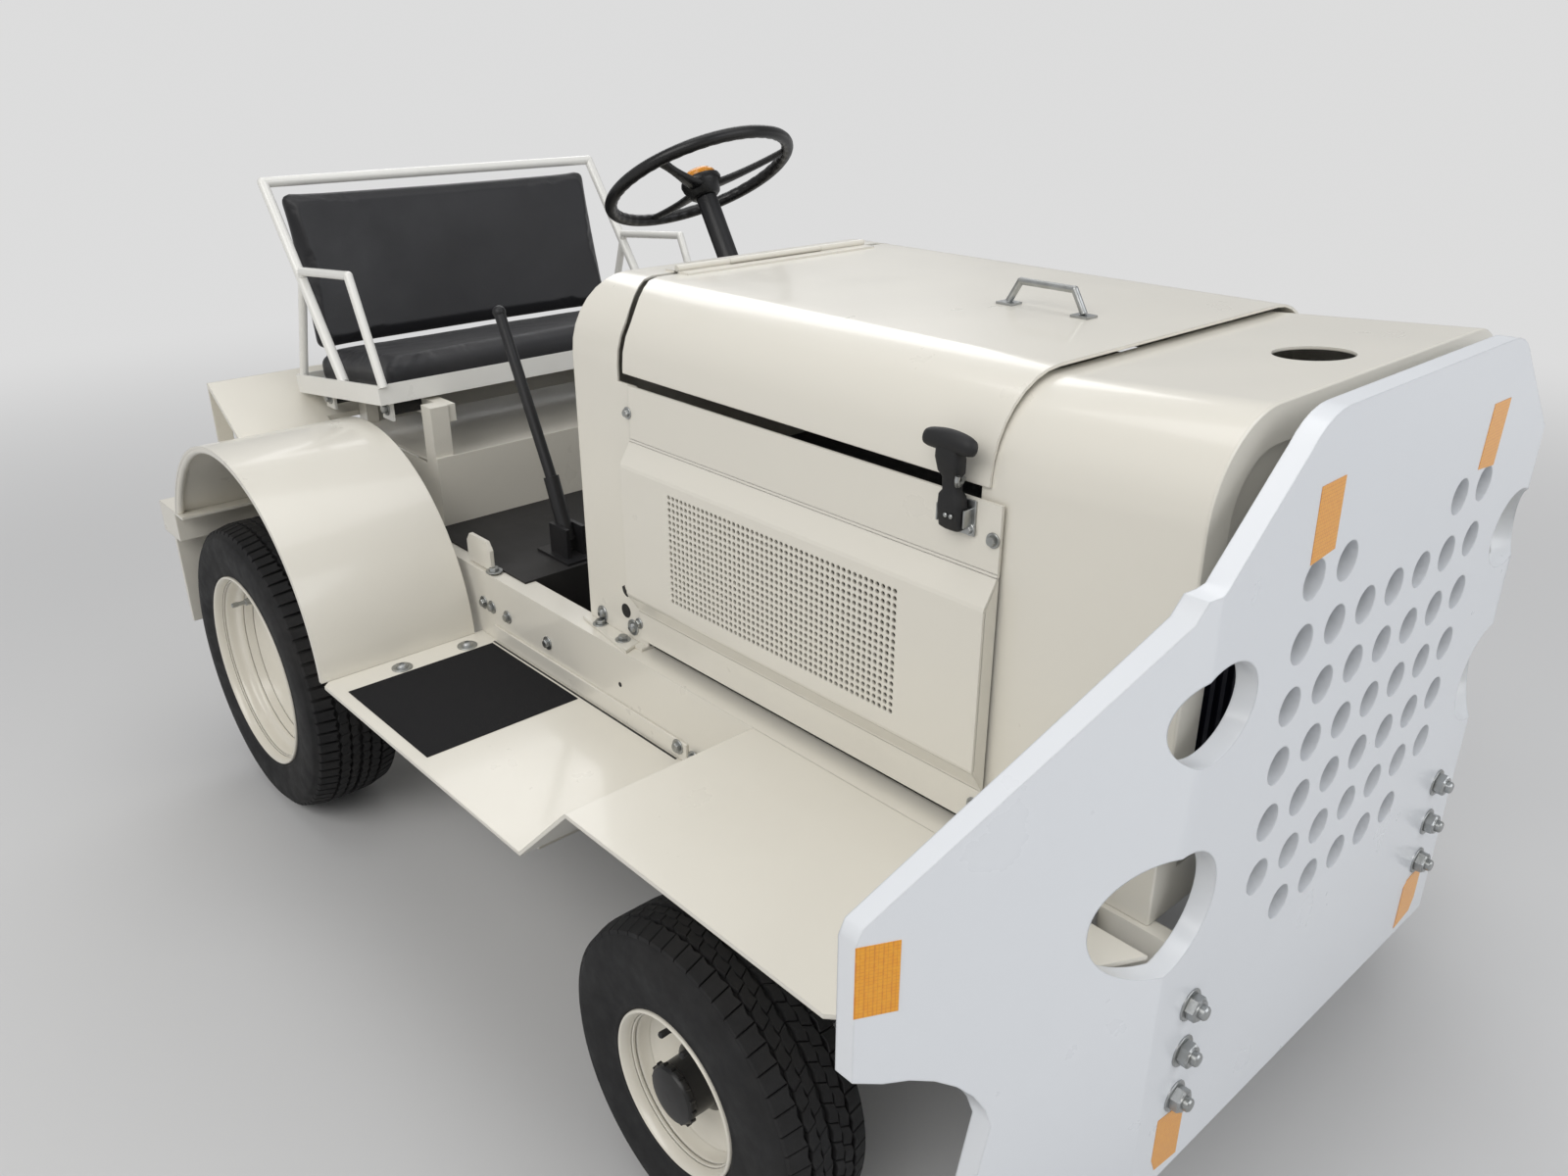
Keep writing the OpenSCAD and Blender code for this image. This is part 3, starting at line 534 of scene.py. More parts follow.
# Lug rows on one half of the tread. Columns: inner and outer edge as shares of the width, how far each edge's
# middle juts out, turn against the first row, gap and slant, these three as shares of a lug's length
FRONT_LUGS = [(0.015, 0.105, 0.0028, 0.0028, 0.0, 0.05, 0.25),
              (0.112, 0.205, 0.0028, 0.0035, 0.5, 0.05, 0.25),
              (0.235, 0.425, 0.0035, 0.0, 0.25, 0.06, 0.12)]
REAR_LUGS = [(0.012, 0.085, 0.004, 0.004, 0.0, 0.03, 0.10),
             (0.112, 0.205, 0.004, 0.004, 0.5, 0.03, 0.10),
             (0.235, 0.43, 0.004, 0.0, 0.0, 0.22, 0.0)]


def carcass_profile(width, tyre_r, rim_r, groove):
    """Bead, wall and crown as (y, radius) on both sides, closed across the beads."""
    wall = tyre_r - rim_r
    half = [(0.420 * width, rim_r - 0.003), (0.440 * width, rim_r - 0.001), (0.462 * width, rim_r + 0.003),
            (0.470 * width, rim_r + 0.007), (0.468 * width, rim_r + 0.012), (0.480 * width, rim_r + 0.026),
            (0.4965 * width, rim_r + 0.45 * wall), (0.4965 * width, rim_r + 0.60 * wall),
            (0.482 * width, rim_r + 0.76 * wall), (0.458 * width, tyre_r - 0.020),
            (0.42 * width, tyre_r - 0.0135), (0.33 * width, tyre_r - groove - 0.002),
            (0.15 * width, tyre_r - groove), (0.0, tyre_r - groove)]
    side = curve_through(half)
    return (side + [(-y, r) for y, r in reversed(side[:-1])]
            + [(-0.38 * width, rim_r - 0.0035), (0.38 * width, rim_r - 0.0035)])


def make_tyre(end, side, rim_r, rows, count, shoulder_reach):
    node = end + "_tyre_" + side
    low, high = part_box(node)
    tyre_r, width = (high.z - low.z) / 2, high.y - low.y
    groove, ring_count = 0.0085, 128
    place = basis(middle(node), (0, 1, 0), (1, 0, 0))
    shape = Shape()
    rings = [[(r * c, r * s, y) for c, s in turn(ring_count)]
             for y, r in carcass_profile(width, tyre_r, rim_r, groove)]
    shape.loft(rings + rings[:1], place, False)

    def point(turned, y, depth):
        """A point on the crown, which falls away to the shoulders."""
        share = abs(y) / (0.5 * width)
        r = tyre_r - 0.0002 - 0.0075 * max(0.0, (share - 0.35) / 0.5) ** 2 - depth
        a = turned * 2 * PI / count
        return place @ vec(r * math.cos(a), r * math.sin(a), y)

    def lug(first, last, inner, outer, inner_jut, outer_jut, slant, sign):
        half_way = (first + last) / 2
        outline = [(first, inner), (half_way, inner + inner_jut), (last, inner), (last + slant, outer),
                   (half_way + slant, outer + outer_jut), (first + slant, outer)]
        mid_turn = sum(corner[0] for corner in outline) / 6
        mid_y = sum(corner[1] for corner in outline) / 6
        at_shoulder = outer > 0.38 * width
        rings = []
        for depth, scale in ((groove + 0.003, 1.0), (0.0012, 1.0), (0.0, 0.93)):
            ring = []
            for i, (turned, y) in enumerate(outline):
                lug_y, lug_depth = mid_y + (y - mid_y) * scale, depth
                if at_shoulder and i >= 3:
                    lug_depth = depth + 0.0015
                    if depth > groove:
                        lug_y = y + 0.055 * width * shoulder_reach
                        lug_depth = depth + 0.018 * shoulder_reach
                ring.append(point(mid_turn + (turned - mid_turn) * scale, sign * lug_y, lug_depth))
            rings.append(ring)
        shape.loft(rings)

    for inner, outer, inner_jut, outer_jut, shift, gap, slant in rows:
        for sign in (1, -1):
            for k in range(count):
                lug(k + shift + gap / 2, k + 1 + shift - gap / 2, inner * width, outer * width,
                    inner_jut, outer_jut, slant, sign)
    shape.make("tread_" + node, TYRE, end + "_wheel_" + side, "tyre", stands_for=node)


for side in SIDES:
    make_tyre("front", side, FRONT_RIM_R, FRONT_LUGS, 56, 0.25)
    make_tyre("rear", side, REAR_RIM_R, REAR_LUGS, 78, 1.0)


# Wheels: dish profiles as (radius, offset from the tyre's middle), from the flange to the hub
FRONT_DISH = [(0.109, 0.048), (0.107, 0.036), (0.102, 0.026), (0.090, 0.018), (0.070, 0.012), (0.056, 0.010)]
REAR_DISH = [(0.193, 0.066), (0.190, 0.052), (0.184, 0.046), (0.180, 0.040), (0.178, 0.022), (0.172, 0.012),
             (0.160, 0.000), (0.140, -0.012), (0.110, -0.026), (0.080, -0.038)]


def pressed_rim(end, side, rim_r, dish, hub_r):
    """A turned steel rim: flange, bead seat, step and dished disc outside, plain barrel inside."""
    tyre, node = end + "_tyre_" + side, end + "_rim_" + side
    low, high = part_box(tyre)
    lip = 0.47 * (high.y - low.y)
    barrel_r = rim_r - 0.0125
    hub_face = dish[-1][1]
    outer = [(rim_r - 0.002, lip - 0.010), (rim_r, lip - 0.006), (rim_r + 0.0005, lip - 0.001),
             (rim_r - 0.001, lip + 0.0015), (rim_r - 0.004, lip + 0.001), (rim_r - 0.008, lip - 0.006),
             (rim_r - 0.010, lip - 0.014)] + dish
    inner = [(hub_r, hub_face - 0.006)] + [(r - 0.002, z - 0.006) for r, z in dish[::-1][1:-1]]
    inner += [(rim_r - 0.016, -lip + 0.016), (rim_r - 0.009, -lip + 0.003), (rim_r - 0.003, -lip - 0.001),
              (rim_r, -lip + 0.003), (rim_r - 0.003, -lip + 0.008), (barrel_r, -lip + 0.016),
              (barrel_r, lip - 0.022)]
    ring = [(hub_r, hub_face)] + curve_through(outer)[::-1] + [(barrel_r, lip - 0.016)] + inner[::-1]
    shape = Shape()
    shape.lathe(ring + ring[:1], 120, basis(middle(tyre), (0, SIDES[side], 0), (1, 0, 0)), False)
    shape.make("pressed_" + node, RIM, end + "_wheel_" + side, slot_of[node], 32, node)


def hub_cap(side):
    """A protruding black grease cap with a ribbed rim. Returns where it sits."""
    sign = SIDES[side]
    centre = middle("front_rim_" + side)
    place = basis((centre.x, sign * (abs(centre.y) + 0.010), centre.z), (0, sign, 0), (1, 0, 0))
    shape = Shape()
    shape.lathe([(0.050, -0.002), (0.050, 0.010), (0.044, 0.014), (0.041, 0.016), (0.0405, 0.050),
                 (0.0425, 0.052), (0.0435, 0.056), (0.0425, 0.060), (0.040, 0.063), (0.030, 0.066),
                 (0.014, 0.0675), (0.0, 0.068)], 40, place, False)
    for c, s in turn(16):
        rib = place @ Matrix.Translation((0.043 * c, 0.043 * s, 0.052))
        shape.box((-0.0022, -0.0022, 0), (0.0022, 0.0022, 0.008), rib, 0.0006)
    shape.make("hub_cap_" + side, PLASTIC, "front_wheel_" + side, "black_steel")
    return place


def valve_stem(shape, place, degrees, out, base_z, centres, radii):
    """A stem at an angle and a distance from the wheel's centre, through (lean, height) pairs."""
    a = math.radians(degrees)
    foot = vec(out * math.cos(a), out * math.sin(a), base_z)
    shape.tube([place @ (foot + vec(lean, 0, height)) for lean, height in centres], radii, 14)


def valves(side, hub_place):
    """Two rubber stems on the front disc and one zinc stem low on the rear disc."""
    sign = SIDES[side]
    shape = Shape()
    for degrees in (74, 102):
        valve_stem(shape, hub_place, -sign * degrees, 0.094, 0.028,
                   [(0, 0), (0, 0.012), (0.001, 0.020), (0.001, 0.032), (0.001, 0.034)],
                   [0.0075, 0.0068, 0.0046, 0.0050, 0.0035])
    shape.make("front_valves_" + side, RUBBER, "front_wheel_" + side, "black_rubber", 35)
    shape = Shape()
    valve_stem(shape, basis(middle("rear_rim_" + side), (0, sign, 0), (1, 0, 0)), sign * 222, 0.160, 0.030,
               [(0, 0), (0, 0.014), (0, 0.015), (0, 0.030), (0, 0.031), (0, 0.042)],
               [0.0085, 0.0080, 0.0050, 0.0046, 0.0058, 0.0052])
    shape.make("rear_valve_" + side, ZINC, "rear_wheel_" + side, "zinc", 35)


for side in SIDES:
    pressed_rim("front", side, FRONT_RIM_R, FRONT_DISH, 0.0425)
    pressed_rim("rear", side, REAR_RIM_R, REAR_DISH, 0.0665)
for side in SIDES:
    valves(side, hub_cap(side))


# Bolts
def hex_bolt(shape, at, normal, head_r, head_h, washer_r, stud_r=0.0):
    """A hexagon head with a chamfered top on a washer, turned at random, with the stud's end if it shows."""
    place = basis(at, normal) @ Matrix.Rotation(random.random() * PI / 3, 4, "Z")
    washer = 0.0020
    top = washer + head_h
    shape.lathe([(washer_r, 0), (washer_r, 0.0016), (washer_r - 0.0006, 0.0022)], 28, place)
    shape.lathe([(head_r * 0.97, washer), (head_r, washer + 0.0006), (head_r, washer + head_h * 0.82),
                 (head_r * 0.86, top)], 6, place)
    shape.lathe([(head_r * 0.84, washer + head_h * 0.9), (head_r * 0.80, top + 0.0004)], 20, place)
    if stud_r:
        shape.lathe([(stud_r, top - 0.001), (stud_r, top + 0.006), (stud_r * 0.8, top + 0.008)], 16, place)


def dome_bolt(shape, at, normal, head_r, washer_r):
    """A button head with a socket on a wide washer."""
    place = basis(at, normal)
    socket_r = head_r * 0.40
    shape.lathe([(washer_r, 0), (washer_r, 0.0016), (washer_r - 0.0008, 0.0024)], 32, place)
    shape.lathe([(head_r, 0.002), (head_r * 0.96, 0.0045), (head_r * 0.80, 0.0070), (head_r * 0.52, 0.0084),
                 (socket_r, 0.0086)], 28, place, False)
    shape.lathe([(socket_r, 0.0086), (head_r * 0.36, 0.0062), (0.0, 0.0060)], 6, place, False)


def body_bolts():
    shape = Shape()
    for sign in SIDES.values():
        outward = (0, sign, 0)
        # corners of the side panel
        for x, z in ((0.184, 1.0125), (0.898, 1.0125), (0.186, 0.654), (0.897, 0.654)):
            hex_bolt(shape, (x, panel_y(sign), z), outward, 0.0065, 0.005, 0.0095)
        # lower flange of the rear cowl, and its foot on the rail
        for x, z in ((0.072, 0.632), (0.162, 0.637)):
            dome_bolt(shape, (x, HOOD_Y + sign * (HOOD_HALF + 0.0002), z), outward, 0.0085, 0.014)
        for x, out in ((0.076, 0.3800), (0.153, 0.3870)):
            hex_bolt(shape, (x, HOOD_Y + sign * out, 0.6158), (0, 0, 1), 0.0085, 0.006, 0.013)
        # web of the rail, running board and ledge
        for x, z in ((-0.197, 0.5417), (-0.0576, 0.5388), (-0.254, 0.5433), (-0.284, 0.5433)):
            hex_bolt(shape, (x, sign * RAIL_Y, z), outward, 0.008, 0.006, 0.013)
        for y in (0.465, 0.599):
            dome_bolt(shape, (-0.262, sign * y, STEP_Z), (0, 0, 1), 0.011, 0.019)
        for x, z in ((0.332, 0.499), (0.372, 0.495)):
            hex_bolt(shape, (x, sign * (RAIL_Y + 0.0055), z), outward, 0.0085, 0.006, 0.013)
        hex_bolt(shape, (-0.254, sign * 0.396, 0.6142), (0, 0, 1), 0.010, 0.006, 0.016)
        # nuts on the front plate
        for z in (0.520, 0.450, 0.379):
            hex_bolt(shape, (FRONT_X, sign * 0.3445, z), (1, 0, 0), 0.0165, 0.013, 0.021, 0.009)
        # seat mounts
        for x, z in ((-0.650, 0.850), (-0.939, 0.815)):
            hex_bolt(shape, (x, sign * 0.3903, z), outward, 0.0095, 0.008, 0.015)
    shape.make("bolts_body", ZINC, "chassis", "zinc")


# Side panels: folded sheets with a perforated field
def panel_sheet(side):
    node = "side_panel_" + side
    sign = SIDES[side]
    low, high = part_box(node)
    top, foot = high.z, low.z
    kink, bend = top - 0.085, foot + 0.054
    sheet, bulge = 0.0038, 0.022
    pitch, hole_r, columns, rows = 0.010, 0.0034, 47, 18
    field_x0, field_z0 = 0.305, 0.738
    field_x1, field_z1 = field_x0 + columns * pitch, field_z0 + rows * pitch
    shape = Shape()
    fold = [(foot, 0.0), (bend - 0.003, 0.0), (bend + 0.001, 0.001), (bend + 0.031, 0.0205),
            (bend + 0.036, bulge), (kink - 0.040, bulge), (kink - 0.035, 0.0205), (kink - 0.003, 0.0012),
            (kink + 0.001, 0.0), (top, 0.0)]
    flat_band = 4

    def at(x, out, z):
        return (x, panel_y(sign, out), z)

    def face_bands(depth):
        """Bands of the fold, with the field left out of the bulge's flat face."""
        for i, ((za, out_a), (zb, out_b)) in enumerate(zip(fold, fold[1:])):
            parts = [(low.x, high.x, za, zb)]
            if i == flat_band:
                parts = [(low.x, field_x0, za, zb), (field_x1, high.x, za, zb),
                         (field_x0, field_x1, za, field_z0), (field_x0, field_x1, field_z1, zb)]
            for xa, xb, z0, z1 in parts:
                shape.add([at(xa, out_a - depth, z0), at(xb, out_a - depth, z0), at(xb, out_b - depth, z1),
                           at(xa, out_b - depth, z1)], [(0, 1, 2, 3)])

    def end_wall(x, inward):
        """The sheet's edge at one end, and the wall that closes the bulge there."""
        for (za, out_a), (zb, out_b) in zip(fold, fold[1:]):
            shape.add([at(x, out_a, za), at(x, out_b, zb), at(x, out_b - sheet, zb),
                       at(x, out_a - sheet, za)], [(0, 1, 2, 3)])
        wall = [at(x, out - sheet, z) for z, out in fold[2:8]]
        shape.add(wall + [(x + inward, y, z) for _, y, z in wall], [tuple(range(6)), tuple(range(11, 5, -1))])

    def holed_cell(cx, cz):
        """One square of the field with an eight-sided hole through it."""
        square = [(1, 0), (1, 1), (0, 1), (-1, 1), (-1, 0), (-1, -1), (0, -1), (1, -1)]
        rim = [(cx + u * pitch / 2, cz + v * pitch / 2) for u, v in square]
        rim += [(cx + hole_r * c, cz + hole_r * s) for c, s in turn(8)]
        faces = []
        for n in range(8):
            m = (n + 1) % 8
            faces += [(n, m, 8 + m, 8 + n), (16 + m, 16 + n, 24 + n, 24 + m), (8 + n, 8 + m, 24 + m, 24 + n)]
        shape.add([at(x, out, z) for out in (bulge, bulge - sheet) for x, z in rim], faces)

    for depth in (0.0, sheet):
        face_bands(depth)
    end_wall(low.x, 0.002)
    end_wall(high.x, -0.002)
    for z in (foot, top):
        shape.add([at(low.x, 0, z), at(high.x, 0, z), at(high.x, -sheet, z), at(low.x, -sheet, z)],
                  [(0, 1, 2, 3)])
    for i in range(columns):
        for j in range(rows):
            holed_cell(field_x0 + (i + 0.5) * pitch, field_z0 + (j + 0.5) * pitch)
    shape.make("panel_sheet_" + side, CREAM, "chassis", slot_of[node], stands_for=node)


def painted_shade_plates():
    """Dark plates behind the perforated fields: painted shade for the shadowed engine space seen through the
    holes.
    """
    shape = Shape()
    for sign in SIDES.values():
        y0, y1 = span(panel_y(sign, -0.030), panel_y(sign, -0.026))
        shape.box((0.270, y0, 0.700), (0.810, y1, 0.950), None, 0.001)
    # the plates are painted shade inside the panels, where the engine space lies in shadow
    shape.make("painted_shade_plates", FLOOR, "chassis", "floor_coat")


for side in SIDES:
    panel_sheet(side)
painted_shade_plates()
body_bolts()


# Openings drawn as black patches of painted shade, and plates along the rails
def crescent():
    """Outline of the half-moon opening in the cowl, as (x, z) from its middle."""
    angles = [math.radians(180 + 9 * k) for k in range(11)]
    outer = [(0.0145 * math.cos(a), 0.0145 * math.sin(a)) for a in angles]
    inner = [(0.0055 + 0.0110 * math.cos(a) * 1.15, 0.0050 + 0.0115 * math.sin(a)) for a in reversed(angles)]
    return outer + inner


def painted_shade_openings():
    """Openings too small to cut, as thin black patches of painted shade: two in the cowl, two in the rail,
    and the shadowed slit behind the ledge.
    """
    inside, outside = -0.0004, 0.0003
    shape = Shape()
    for sign in SIDES.values():
        cowl_y = HOOD_Y + sign * (HOOD_HALF + 0.0002)
        shape.lathe([(0.0125, inside), (0.0125, outside)], 28, basis((0.143, cowl_y, 0.661), (0, sign, 0)))
        shape.loft([[(0.150 + x, cowl_y + sign * d, 0.703 + z) for x, z in crescent()]
                    for d in (inside, outside)])
        for x, z in ((0.033, 0.499), (0.168, 0.544)):
            place = basis((x, sign * RAIL_Y, z), (0, sign, 0))
            shape.lathe([(0.0045, inside), (0.0045, outside)], 20, place)
        y0, y1 = span(sign * (RAIL_Y + 0.0070), sign * (RAIL_Y + 0.0110))
        shape.box((LEDGE_REAR_X, y0, STEP_Z - 0.0002), (0.330, y1, STEP_Z + 0.0004))
    # black patches of painted shade stand for the dark inside of the openings and the shadow under the ledge
    shape.make("painted_shade_openings", PLASTIC, "chassis", "black_steel", 0)


def rail_plates():
    """The cowl's foot plate on the rail, the ledge beside the running board, the tab at the fender."""
    foot = [(0.029, 0.371), (0.029, 0.384), (0.190, 0.407), (0.178, 0.371)]
    tab = [(-0.343, 0.6145), (-0.256, 0.6145), (-0.256, 0.655), (-0.268, 0.671), (-0.331, 0.671),
           (-0.343, 0.655)]
    shape = Shape()
    for sign in SIDES.values():
        shape.loft([[(x, HOOD_Y + sign * y, z) for x, y in foot] for z in (0.6103, 0.6158)])
        y0, y1 = span(sign * (RAIL_Y + 0.0003), sign * (RAIL_Y + 0.0055))
        shape.box((LEDGE_REAR_X, y0, STEP_Z + 0.0003), (0.352, y1, STEP_Z + 0.034), None, 0.0010)
        shape.loft([[(x, y, z) for x, z in tab] for y in span(sign * 0.3925, sign * 0.4005)])
    shape.make("cowl_foot_plates", CREAM, "chassis", "cream_paint")


painted_shade_openings()
rail_plates()


# Amber tape and step pads
def patch(shape, center, across, corners):
    """A strip of tape on an upright face, from corner points given across and up from its centre."""
    center, across, up = Vector(center), Vector(across).normalized(), vec(0, 0, 1)
    normal = across.cross(up)
    if normal.x < 0:
        normal = -normal
    outline = [center + across * u + up * v for u, v in corners]
    shape.loft([[p + normal * d for p in outline] for d in (0.0001, 0.0007)])


def amber_tape():
    """Per side: one strip high and one low on the plate's flat face, and one on its swept wing."""
    sweep = math.atan2(0.160, 0.317)
    wing_y, bend_y = 0.7155, 0.419
    wing_x = FRONT_X - (wing_y - bend_y) * math.tan(sweep)
    shape = Shape()
    for sign in SIDES.values():
        patch(shape, (FRONT_X, sign * 0.222, 1.085), (0, sign, 0),
              [(-0.029, -0.039), (0.023, -0.044), (0.029, 0.043), (-0.023, 0.044)])
        patch(shape, (FRONT_X, sign * 0.345, 0.311), (0, sign, 0),
              [(-0.030, -0.048), (0.020, -0.040), (0.030, -0.018), (0.030, 0.048), (-0.020, 0.040),
               (-0.030, 0.030)])
        patch(shape, (wing_x, sign * wing_y, 0.680), (-math.sin(sweep), sign * math.cos(sweep), 0),
              [(-0.024, -0.045), (0.024, -0.045), (0.024, 0.045), (-0.024, 0.045)])
    shape.make("amber_tape", TAPE, "chassis", "amber_plastic", 0)


def step_pads():
    shape = Shape()
    for sign in SIDES.values():
        y0, y1 = span(sign * 0.424, sign * 0.713)
        shape.box((-0.239, y0, STEP_Z + 0.0001), (0.056, y1, STEP_Z + 0.0014))
    shape.make("step_pads", GRIT, "chassis", "floor_coat", 0)


amber_tape()
step_pads()


# Cushions
PUFF_LIMIT = 0.012


def evaluated(obj):
    """The object's mesh with its modifiers, which are then cleared."""
    mesh = bpy.data.meshes.new_from_object(obj.evaluated_get(bpy.context.evaluated_depsgraph_get()))
    obj.modifiers.clear()
    return mesh


def slab(length, width, height, inset):
    """A rounded slab on x from 0, y about 0 and z from 0, drawn in by inset."""
    bm = bmesh.new()
    bmesh.ops.create_cube(bm, size=1.0)
    for v in bm.verts:
        v.co = vec((v.co.x + 0.5) * (length - 2 * inset), v.co.y * (width - 2 * inset),
                 (v.co.z + 0.5) * (height - 2 * inset))
    bmesh.ops.bevel(bm, geom=bm.edges[:], offset=0.020, segments=4, profile=0.5, affect="EDGES")
    for v in bm.verts:
        v.co += vec(inset, 0, inset)
    mesh = bpy.data.meshes.new("slab")
    bm.to_mesh(mesh)
    bm.free()
    return mesh


def inflate(obj):
    """Blows the cover up as cloth under pressure, held to PUFF_LIMIT."""
    start = [v.co.copy() for v in obj.data.vertices]
    cloth = obj.modifiers.new("cloth", "CLOTH")
    cloth.settings.quality = 4
    cloth.settings.mass = 0.3
    cloth.settings.tension_stiffness = 14
    cloth.settings.compression_stiffness = 14
    cloth.settings.use_pressure = True
    cloth.settings.uniform_pressure_force = 4.0
    cloth.settings.effector_weights.gravity = 0.0
    cloth.collision_settings.use_collision = False
    for step in range(1, 21):
        scene.frame_set(step)
    mesh = evaluated(obj)
    for v, origin in zip(mesh.vertices, start):
        puff = v.co - origin
        if puff.length > PUFF_LIMIT:
            puff *= PUFF_LIMIT / puff.length
        v.co = origin + puff
    obj.data = mesh
    scene.frame_set(1)


def sit_in(mesh, length, width, height):
    """Crowns the top, pulls the ends in between the corners and adds slack folds."""
    for v in mesh.vertices:
        x, y, z = v.co
        u = min(1, max(0, x / length))
        t = min(1, max(0, (y + width / 2) / width))
        crown = (4 * u * (1 - u)) ** 0.5 * (4 * t * (1 - t)) ** 0.35
        top = min(1, max(0, z / height))
        v.co.z += top * (0.006 * crown - 0.004)
        v.co.z += top * 0.0016 * noise.noise(vec(x * 7, y * 5, 3.1))
        v.co.z += top * 0.0010 * noise.noise(vec(x * 26, y * 18, 1.7))
        pull = 0.004 * (1 - abs(2 * t - 1)) * (abs(2 * u - 1) ** 6)
        v.co.x += pull * (1 if u < 0.5 else -1)
        v.co.x = min(length + 0.002, max(-0.002, v.co.x))
        v.co.y = min(width / 2 + 0.0002, max(-width / 2 - 0.0002, v.co.y))
        v.co.z = min(height + 0.004, max(0.0002, v.co.z))


def make_pad(name, node, length, width, height, place):
    obj = bpy.data.objects.new(name, slab(length, width, height, 0.010))
    scene.collection.objects.link(obj)
    remesh = obj.modifiers.new("remesh", "REMESH")
    remesh.mode = "VOXEL"
    remesh.voxel_size = 0.0058
    obj.data = evaluated(obj)
    inflate(obj)
    sit_in(obj.data, length, width, height)
    obj.data.transform(place)
    finer = obj.modifiers.new("sub", "SUBSURF")
    finer.levels = finer.render_levels = 1
    obj.data.materials.clear()
    obj.data.materials.append(VINYL)
    for face in obj.data.polygons:
        face.use_smooth = True
    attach(obj, "chassis")
    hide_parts(node)


def leaned(at, degrees):
    """Turned about Y, then moved."""
    return Matrix.Translation(at) @ Matrix.Rotation(math.radians(degrees), 4, "Y")


BACK_THICK = 0.056
seat_place = leaned((-0.611, 0, 0.8752), -7.4) @ Matrix.Translation((-0.400, 0, 0))
back_place = leaned((-1.003, 0, 0.888), -14) @ leaned((0, 0, 0), -90)
make_pad("cushion_seat", "seat_cushion", 0.395, 0.796, 0.080, seat_place)
make_pad("cushion_back", "seat_back", 0.370, 0.8034, BACK_THICK,
         back_place @ Matrix.Translation((0, 0, -BACK_THICK)))


# Steering wheel with a wavy grip, three spokes and a hub
def steering_wheel(place):
    ring_r, grip_r, wave_h, waves = 0.189, 0.0118, 0.0016, 45
    shape = Shape()
    rings = []
    for step in range(216):
        a = 2 * PI * step / 216
        wave = wave_h * (0.5 + 0.5 * math.cos(a * waves))
        ring = []
        for c, s in turn(16):
            r = grip_r + wave * max(0.0, -c)
            ring.append(((ring_r + r * c) * math.cos(a), (ring_r + r * c) * math.sin(a), r * s))
        rings.append(ring)
    shape.loft(rings + rings[:1], place, False)
    for degrees in (60, 180, 300):
        rings = []
        for k in range(9):
            t = k / 8
            x, z = 0.024 + t * 0.160, -0.020 + 0.022 * t ** 1.4
            half_wide = 0.019 - 0.011 * math.sin(min(1, t * 1.15) * PI / 2) + 0.006 * t ** 6
            half_thick = 0.0075 - 0.0015 * t
            rings.append([(x, half_wide * c, z + half_thick * s) for c, s in turn(16)])
        shape.loft(rings, place @ Matrix.Rotation(math.radians(degrees), 4, "Z"))
    shape.lathe([(0.026, -0.040), (0.031, -0.036), (0.034, -0.026), (0.040, -0.018), (0.042, -0.008),
                 (0.040, -0.002), (0.035, 0.0)], 48, place)
    shape.make("wheel_grip", PLASTIC, "steering", "black_plastic", 40, "steering_wheel")


def horn_button(place):
    shape = Shape()
    shape.lathe([(0.034, 0.0002), (0.0345, 0.005), (0.032, 0.009), (0.029, 0.0105), (0.026, 0.0138),
                 (0.018, 0.0142), (0.0, 0.0144)], 48, place, False)
    shape.make("horn_button", AMBER, "steering", "amber_plastic", stands_for="horn_cap")


wheel_place = Matrix.Translation(WHEEL_CENTRE) @ Matrix.Rotation(-WHEEL_SLOPE, 4, "Y")
steering_wheel(wheel_place)
horn_button(wheel_place)


